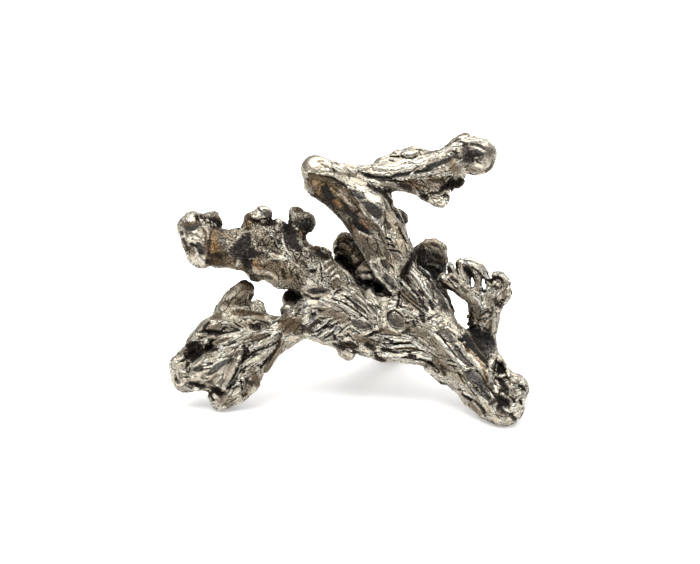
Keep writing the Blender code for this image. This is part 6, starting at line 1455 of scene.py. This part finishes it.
# ---------------------------------------------------------------- colour
SILVER = np.array([0.75, 0.664, 0.532])
GREY = np.array([0.172, 0.157, 0.133])
SOOT = np.array([0.018, 0.0165, 0.0155])
BROWN = np.array([0.105, 0.071, 0.040])
OCHRE = np.array([0.37, 0.225, 0.10])
# cream paint: a cream colour, also laid as painted highlights
CREAM_AND_HIGHLIGHT = np.array([0.74, 0.64, 0.50])
# the dark grey-blue paint is a painted dark reflection for smooth facets; the cream paint is also used for painted
# highlights
PAINT = {"soot": SOOT, "brown": BROWN, "ochre": OCHRE, "cream": CREAM_AND_HIGHLIGHT, "grey": GREY, "silver": SILVER,
         "umber": np.array([0.018, 0.013, 0.009]), "rust": np.array([0.27, 0.13, 0.05]), "tan": np.array([0.37, 0.285, 0.185]),
         "slate": np.array([0.049, 0.047, 0.046])}

# painted shade: how shut in each spot is, read from the field, darkens it like ambient occlusion
open_air = np.clip(sample(whole, P + N * 0.9) / 0.9, 0.0, 1.0)
open_wide = np.clip(sample(whole, P + N * 2.0) / 2.0, 0.0, 1.0)
painted_occlusion_shade = 1.0 - 0.5 * open_air - 0.5 * open_wide
blotch = wave(P * 0.55 + 9.0) * 1.3
speck = wave(P * 2.6 + 3.0)

# painted shade: surfaces that face down are darker
painted_underside_shade = smooth(0.1, 0.9, -N[:, 2])
# brown dirt in blotches, with painted shade in relief hollows, grooves, shut-in spots, undersides and inner corners;
# less on rubbed edges, ridges and rims
dirt_and_shade = np.clip(
    0.85 * smooth(0.0, 0.75, hollowness * (1 - flat)) + 1.3 * smooth(0.10, 0.48, painted_occlusion_shade)
    + 1.0 * drawn_low + 0.35 * (blotch + speck * 0.6) + 0.35 * painted_underside_shade + 0.9 * painted_corner_shade - 0.35 * edge_wear_and_highlight, 0.0, 1.0) * (0.45 + grime_and_shade)
dirt_and_shade = np.clip(dirt_and_shade * (1.0 - 0.8 * drawn_high) * (1.0 - 0.6 * rim) * (1.0 - 0.45 * edge_wear_and_highlight), 0.0, 1.0)
dull = np.clip(tarnish * (0.8 + 0.9 * blotch + 0.7 * speck) + 0.10, 0.0, 0.95)
dull *= 1.0 - 0.5 * edge_wear_and_highlight
dull *= 1.0 - 0.7 * drawn_high
dull *= 1.0 - 0.6 * rim

colour = SILVER[None, :] * np.ones((len(P), 1))
rough = 0.34 - 0.06 * polish + 0.12 * dull + 0.04 * speck
metal = np.ones(len(P))


def lay(paint, amount, roughness, shine):
    global colour, rough, metal
    a = np.clip(amount, 0.0, 1.0)[:, None]
    colour = colour * (1 - a) + paint * a
    rough = rough * (1 - a[:, 0]) + roughness * a[:, 0]
    metal = metal * (1 - a[:, 0]) + shine * a[:, 0]


lay(GREY, dull * 0.75, 0.45, 0.9)
# painted dark reflection: facets laid dark and polished
lay(np.array([0.115, 0.11, 0.105]), facet_reflection * (0.78 + 0.3 * speck), 0.26, 1.0)
# brown over the dirt and painted shade, and near-black umber over the deepest of it and over shut-in spots (painted
# shade)
lay(BROWN, dirt_and_shade * 1.0, 0.62, 0.30)
lay(PAINT["umber"], smooth(0.45, 0.85, dirt_and_shade) * 0.9 + 0.95 * smooth(0.34, 0.70, painted_occlusion_shade), 0.75, 0.2)
VARIED = {"silver": 0.1, "ochre": 0.9, "cream": 0.35}
MATT = {"soot": (0.55, 0.25), "silver": (0.30, 1.0), "grey": (0.34, 0.95), "tan": (0.50, 0.55), "slate": (0.28, 0.95)}
patchy = smooth(-0.45, 0.25, speck + 0.7 * blotch + 0.5 * grain).astype(np.float32)
crumbs = (smooth(*np.percentile(grit, (80, 97)), grit) * smooth(*np.percentile(near2, (70, 15)), near2)).astype(np.float32)
for paint, amount, half, *line in STAINS_AND_PAINTED_LIGHT:
    reach = half * 1.25
    ids, dist, along = near_line(line, reach)
    dist = dist * 1.25
    edge = smooth(1.15, 0.35, dist + 0.45 * speck[ids] + 0.35 * grain[ids] + 0.2 * grit[ids])
    a = amount * edge * shown[ids]
    if paint not in ("silver", "grey"):
        a = a * (0.78 + 0.22 * np.maximum(patchy[ids], smooth(3.0, 1.2, half)))
    a = np.clip(a, 0.0, 1.0)
    if paint in ("soot", "umber", "brown"):
        a = 1.0 - (1.0 - a) ** 1.8
    if paint == "soot" and half > 3.3:      # bare grains stand out of the wide patches
        a = a * (1.0 - 0.42 * crumbs[ids])
    roughness, shine = MATT.get(paint, (0.70, 0.15))
    shade = np.clip(1.0 + VARIED.get(paint, 0.5) * (speck[ids] + 0.8 * grain[ids]), 0.3, 1.6)[:, None]
    colour[ids] += a[:, None] * (PAINT[paint] * shade - colour[ids])
    rough[ids] += a * (roughness - rough[ids])
    metal[ids] += a * (shine - metal[ids])

# patches of soot, earth, bare metal, cream and painted dark reflection on the hidden sides
for i in _pick.permutation(len(P))[:420]:
    if shown[i] > 0.02 or outer[i] < 0.9:
        continue
    paint = ("soot", "slate", "brown", "umber", "grey", "slate", "silver", "cream", "ochre")[_pick.randint(9)]
    wide = {"ochre": 0.5, "cream": 0.8, "soot": 1.4, "slate": 1.1, "silver": 1.2}.get(paint, 1.0) * (0.5 + 1.2 * _pick.random_sample())
    ids = around(P[i], wide * 1.9)
    gap = P[ids] - P[i]
    dist = np.sqrt(np.maximum((gap**2).sum(axis=1) - 0.65 * (gap @ T[i]) ** 2, 0.0)) / wide      # drawn out along the branch
    a = smooth(1.15, 0.35, dist + 0.6 * speck[ids] + 0.5 * blotch[ids] + 0.3 * grain[ids]) * (1.0 - shown[ids])
    a = 1.0 - (1.0 - a * (0.6 + 0.38 * _pick.random_sample())) ** (0.8 if paint == "ochre" else 1.5)
    roughness, shine = MATT.get(paint, (0.70, 0.15))
    shade = np.clip(1.0 + VARIED.get(paint, 0.5) * (speck[ids] + 0.8 * grain[ids]), 0.3, 1.6)[:, None]
    colour[ids] += a[:, None] * (PAINT[paint] * shade - colour[ids])
    rough[ids] += a * (roughness - rough[ids])
    metal[ids] += a * (shine - metal[ids])
# rubbed edges lighter (wear and painted highlight), inner corners darker (painted shade)
colour *= (1.0 + 0.32 * edge_wear_and_highlight - 0.55 * painted_corner_shade)[:, None]
for c in range(3):      # crisper edges between paints
    colour[:, c] += 0.65 * (colour[:, c] - eased(colour[:, c], 2))
tint = np.clip(colour, 0.006, 0.80)
speckle = np.clip((0.32 + 2.2 * np.clip(cobble_mm + pit_mm - 0.12, 0.0, 0.4)) * (1.0 - 0.7 * flat) * (1.0 - 0.6 * drawn_high) * (1.0 - 0.8 * smooth(0.7, 1.0, polish)), 0.0, 0.9)
rough = np.clip(rough, 0.14, 0.9)
metal = np.clip(metal, 0.0, 1.0)


# ---------------------------------------------------------------- material
def nodes_of(material):
    tree = material.node_tree
    return tree, tree.nodes, tree.links


def silver_material(name):
    """Metal whose clean, tarnished and dirty places, with painted shade, painted highlights and painted dark
    reflections, are laid down on the mesh, broken up by fine procedural grain."""
    material = bpy.data.materials.new(name)
    material.use_nodes = True
    tree, nodes, links = nodes_of(material)
    shader = nodes["Principled BSDF"]

    tint_in = nodes.new("ShaderNodeAttribute")
    tint_in.attribute_name = "tint"
    finish_in = nodes.new("ShaderNodeAttribute")
    finish_in.attribute_name = "finish"
    place_in = nodes.new("ShaderNodeTexCoord")
    split = nodes.new("ShaderNodeSeparateColor")
    links.new(finish_in.outputs["Color"], split.inputs["Color"])

    mottle = nodes.new("ShaderNodeTexNoise")
    mottle.inputs["Scale"].default_value = 3800.0
    mottle.inputs["Detail"].default_value = 6.0
    mottle.inputs["Roughness"].default_value = 0.65
    links.new(place_in.outputs["Object"], mottle.inputs["Vector"])
    spread = nodes.new("ShaderNodeMapRange")
    spread.inputs["From Min"].default_value = 0.34
    spread.inputs["From Max"].default_value = 0.64
    spread.inputs["To Min"].default_value = 0.42
    spread.inputs["To Max"].default_value = 1.24
    links.new(mottle.outputs["Fac"], spread.inputs["Value"])
    # rough skin is mottled more than polished skin
    extent = nodes.new("ShaderNodeMath")
    extent.operation = "MULTIPLY_ADD"
    extent.inputs[1].default_value = 1.6
    extent.inputs[2].default_value = 0.40
    extent.use_clamp = True
    links.new(split.outputs["Blue"], extent.inputs[0])
    blend = nodes.new("ShaderNodeMix")
    blend.data_type = "FLOAT"
    blend.inputs["A"].default_value = 0.92
    links.new(extent.outputs["Value"], blend.inputs["Factor"])
    links.new(spread.outputs["Result"], blend.inputs["B"])
    shade = nodes.new("ShaderNodeVectorMath")
    shade.operation = "SCALE"
    links.new(tint_in.outputs["Color"], shade.inputs[0])
    links.new(blend.outputs["Result"], shade.inputs["Scale"])

    # fine dark specks where the skin is pitted
    specks = nodes.new("ShaderNodeTexNoise")
    specks.inputs["Scale"].default_value = 5200.0
    specks.inputs["Detail"].default_value = 3.0
    specks.inputs["Roughness"].default_value = 0.6
    links.new(place_in.outputs["Object"], specks.inputs["Vector"])
    sharp = nodes.new("ShaderNodeMapRange")
    sharp.inputs["From Min"].default_value = 0.50
    sharp.inputs["From Max"].default_value = 0.58
    links.new(specks.outputs["Fac"], sharp.inputs["Value"])
    speckled = nodes.new("ShaderNodeMath")
    speckled.operation = "MULTIPLY"
    links.new(sharp.outputs["Result"], speckled.inputs[0])
    links.new(split.outputs["Blue"], speckled.inputs[1])
    soil = nodes.new("ShaderNodeMix")
    soil.data_type = "RGBA"
    soil.inputs["B"].default_value = (0.040, 0.029, 0.020, 1.0)
    links.new(speckled.outputs["Value"], soil.inputs["Factor"])
    links.new(shade.outputs["Vector"], soil.inputs["A"])
    links.new(soil.outputs["Result"], shader.inputs["Base Color"])

    vary = nodes.new("ShaderNodeMath")
    vary.operation = "MULTIPLY_ADD"
    vary.inputs[1].default_value = 0.16
    links.new(mottle.outputs["Fac"], vary.inputs[0])
    base = nodes.new("ShaderNodeMath")
    base.operation = "SUBTRACT"
    base.inputs[1].default_value = 0.08
    links.new(split.outputs["Red"], base.inputs[0])
    links.new(base.outputs["Value"], vary.inputs[2])
    links.new(vary.outputs["Value"], shader.inputs["Roughness"])
    links.new(split.outputs["Green"], shader.inputs["Metallic"])
    shader.inputs["Specular IOR Level"].default_value = 0.12

    pores = nodes.new("ShaderNodeTexVoronoi")
    pores.inputs["Scale"].default_value = 4200.0
    links.new(place_in.outputs["Object"], pores.inputs["Vector"])
    skin_noise = nodes.new("ShaderNodeTexNoise")
    skin_noise.inputs["Scale"].default_value = 6500.0
    skin_noise.inputs["Detail"].default_value = 4.0
    links.new(place_in.outputs["Object"], skin_noise.inputs["Vector"])
    both = nodes.new("ShaderNodeMath")
    both.operation = "MULTIPLY_ADD"
    both.inputs[1].default_value = 0.5
    links.new(pores.outputs["Distance"], both.inputs[0])
    links.new(skin_noise.outputs["Fac"], both.inputs[2])
    bump = nodes.new("ShaderNodeBump")
    bump.inputs["Distance"].default_value = 0.00009
    firm = nodes.new("ShaderNodeMath")
    firm.operation = "MULTIPLY_ADD"
    firm.inputs[1].default_value = 1.2
    firm.inputs[2].default_value = 0.22
    firm.use_clamp = True
    links.new(split.outputs["Blue"], firm.inputs[0])
    links.new(firm.outputs["Value"], bump.inputs["Strength"])
    links.new(both.outputs["Value"], bump.inputs["Height"])
    links.new(bump.outputs["Normal"], shader.inputs["Normal"])
    return material


SLOTS = {}
SLOT_OF = {
    "hub": "silver_bright", "mast": "silver_stained", "top_arm": "silver_bright",
    "left_branch": "silver_tarnished", "lower_left_frond": "silver_bright",
    "right_leg": "silver_bright", "right_frond": "silver_tarnished",
    "rear_leg": "silver_tarnished", "rear_knob": "silver_tarnished", "rear_spur": "silver_stained",
}


def build(name, points, quads, tint, rough, metal, speckle):
    mesh = bpy.data.meshes.new(name + "_silver")
    mesh.vertices.add(len(points))
    mesh.vertices.foreach_set("co", (points * MM).astype(np.float32).ravel())
    mesh.loops.add(len(quads) * 4)
    mesh.loops.foreach_set("vertex_index", quads[:, WINDING].astype(np.int32).ravel())
    mesh.polygons.add(len(quads))
    mesh.polygons.foreach_set("loop_start", np.arange(0, 4 * len(quads), 4, dtype=np.int32))
    mesh.update(calc_edges=True)
    mesh.validate()
    layer = mesh.attributes.new("tint", "FLOAT_COLOR", "POINT")
    layer.data.foreach_set("color", np.concatenate([tint, np.ones((len(tint), 1))], axis=1).astype(np.float32).ravel())
    layer = mesh.attributes.new("finish", "FLOAT_COLOR", "POINT")
    layer.data.foreach_set("color", np.stack([rough, metal, speckle, np.ones_like(rough)], axis=1).astype(np.float32).ravel())
    mesh.shade_smooth()
    obj = bpy.data.objects.new(name + "_silver", mesh)
    bpy.context.scene.collection.objects.link(obj)
    slot = SLOT_OF[name]
    if slot not in SLOTS:
        SLOTS[slot] = silver_material(slot)
    mesh.materials.append(SLOTS[slot])
    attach(obj, "root")
    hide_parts(name)
    return obj


# quads wind outwards if the first one's normal agrees with the field
_q = QUADS[0][:2000]
_a = P[_q[:, 1]] - P[_q[:, 0]]
_b = P[_q[:, 2]] - P[_q[:, 0]]
WINDING = [0, 1, 2, 3] if (np.cross(_a, _b) * N[_q[:, 0]]).sum() > 0 else [3, 2, 1, 0]
for name, quads in zip(OLDEST_FIRST, QUADS):
    s = slice(*SPAN[name])
    build(name, Q[s], quads, tint[s], rough[s], metal[s], speckle[s])

# ---------------------------------------------------------------- camera, floor and light
scene = bpy.context.scene
camera_data = bpy.data.cameras.new("camera")
camera_data.lens = 180.0
camera_data.sensor_width = 36.0
camera_data.clip_start = 0.01
camera_data.clip_end = 20.0
camera = bpy.data.objects.new("camera", camera_data)
scene.collection.objects.link(camera)
camera.location = Vector(MIDDLE + FRONT * (EYE / UNIT)) * MM
camera.rotation_euler = (-Vector(FRONT)).to_track_quat("-Z", "Y").to_euler()
scene.camera = camera

floor_mesh = bpy.data.meshes.new("floor")
floor_mesh.from_pydata([(-3, -3, 0), (3, -3, 0), (3, 3, 0), (-3, 3, 0)], [], [(0, 1, 2, 3)])
floor = bpy.data.objects.new("floor", floor_mesh)
floor.location.z = -0.00002
scene.collection.objects.link(floor)
white = bpy.data.materials.new("floor_white")
white.use_nodes = True
white.node_tree.nodes["Principled BSDF"].inputs["Base Color"].default_value = (0.93, 0.93, 0.93, 1.0)
white.node_tree.nodes["Principled BSDF"].inputs["Roughness"].default_value = 0.9
white.node_tree.nodes["Principled BSDF"].inputs["Specular IOR Level"].default_value = 0.1
white.node_tree.nodes["Principled BSDF"].inputs["Emission Color"].default_value = (1.0, 1.0, 1.0, 1.0)
white.node_tree.nodes["Principled BSDF"].inputs["Emission Strength"].default_value = 0.35
floor_mesh.materials.append(white)

# a plain white wall far behind everything, for low views; it lights and reflects in nothing
turn = [2 * math.pi * i / 64 for i in range(64)]
wall_mesh = bpy.data.meshes.new("backdrop")
wall_mesh.from_pydata([(1.6 * math.cos(a), 1.6 * math.sin(a), z) for z in (0.0, 1.2) for a in turn], [],
                      [(i, 64 + i, 64 + (i + 1) % 64, (i + 1) % 64) for i in range(64)])
wall = bpy.data.objects.new("backdrop", wall_mesh)
wall.location.z = -0.00002
for rays in ("diffuse", "glossy", "transmission", "volume_scatter", "shadow"):
    setattr(wall, "visible_" + rays, False)
scene.collection.objects.link(wall)
paper = bpy.data.materials.new("backdrop_white")
paper.use_nodes = True
paper.node_tree.nodes["Principled BSDF"].inputs["Base Color"].default_value = (0.93, 0.93, 0.93, 1.0)
paper.node_tree.nodes["Principled BSDF"].inputs["Roughness"].default_value = 0.9
paper.node_tree.nodes["Principled BSDF"].inputs["Emission Color"].default_value = (1.0, 1.0, 1.0, 1.0)
paper.node_tree.nodes["Principled BSDF"].inputs["Emission Strength"].default_value = 1.0
wall_mesh.materials.append(paper)

world = bpy.data.worlds.new("tent")
scene.world = world
world.use_nodes = True
tree, nodes, links = nodes_of(world)
background = nodes["Background"]
where = nodes.new("ShaderNodeTexCoord")
axes = nodes.new("ShaderNodeSeparateXYZ")
links.new(where.outputs["Generated"], axes.inputs["Vector"])
lift = nodes.new("ShaderNodeMapRange")      # brighter overhead
lift.interpolation_type = "SMOOTHSTEP"
lift.inputs["From Min"].default_value = 0.45
lift.inputs["From Max"].default_value = 0.85
lift.inputs["To Min"].default_value = 0.28
lift.inputs["To Max"].default_value = 2.37
links.new(axes.outputs["Z"], lift.inputs["Value"])
front = nodes.new("ShaderNodeMapRange")     # darker room on the viewer's side
front.interpolation_type = "SMOOTHSTEP"
front.inputs["From Min"].default_value = -0.95
front.inputs["From Max"].default_value = -0.20
front.inputs["To Min"].default_value = 0.08
front.inputs["To Max"].default_value = 1.0
links.new(axes.outputs["Y"], front.inputs["Value"])
level = nodes.new("ShaderNodeMath")
level.operation = "MULTIPLY"
links.new(lift.outputs["Result"], level.inputs[0])
links.new(front.outputs["Result"], level.inputs[1])
links.new(level.outputs["Value"], background.inputs["Strength"])
background.inputs["Color"].default_value = (1.0, 0.995, 0.985, 1.0)


def softbox(name, at, aim, size, power):
    light = bpy.data.lights.new(name, "AREA")
    light.shape = "RECTANGLE"
    light.size, light.size_y = size
    light.energy = power
    obj = bpy.data.objects.new(name, light)
    obj.location = at
    obj.rotation_euler = (Vector(aim) - Vector(at)).to_track_quat("-Z", "Y").to_euler()
    scene.collection.objects.link(obj)
    return obj


softbox("key_softbox", (-0.10, -0.12, 0.34), (0.0, 0.0, 0.015), (0.16, 0.12), 0.42)
softbox("rim_softbox", (0.18, 0.22, 0.22), (0.0, 0.0, 0.015), (0.14, 0.14), 0.31)

scene.view_settings.view_transform = "Standard"
scene.view_settings.look = "None"
scene.view_settings.exposure = 0.0
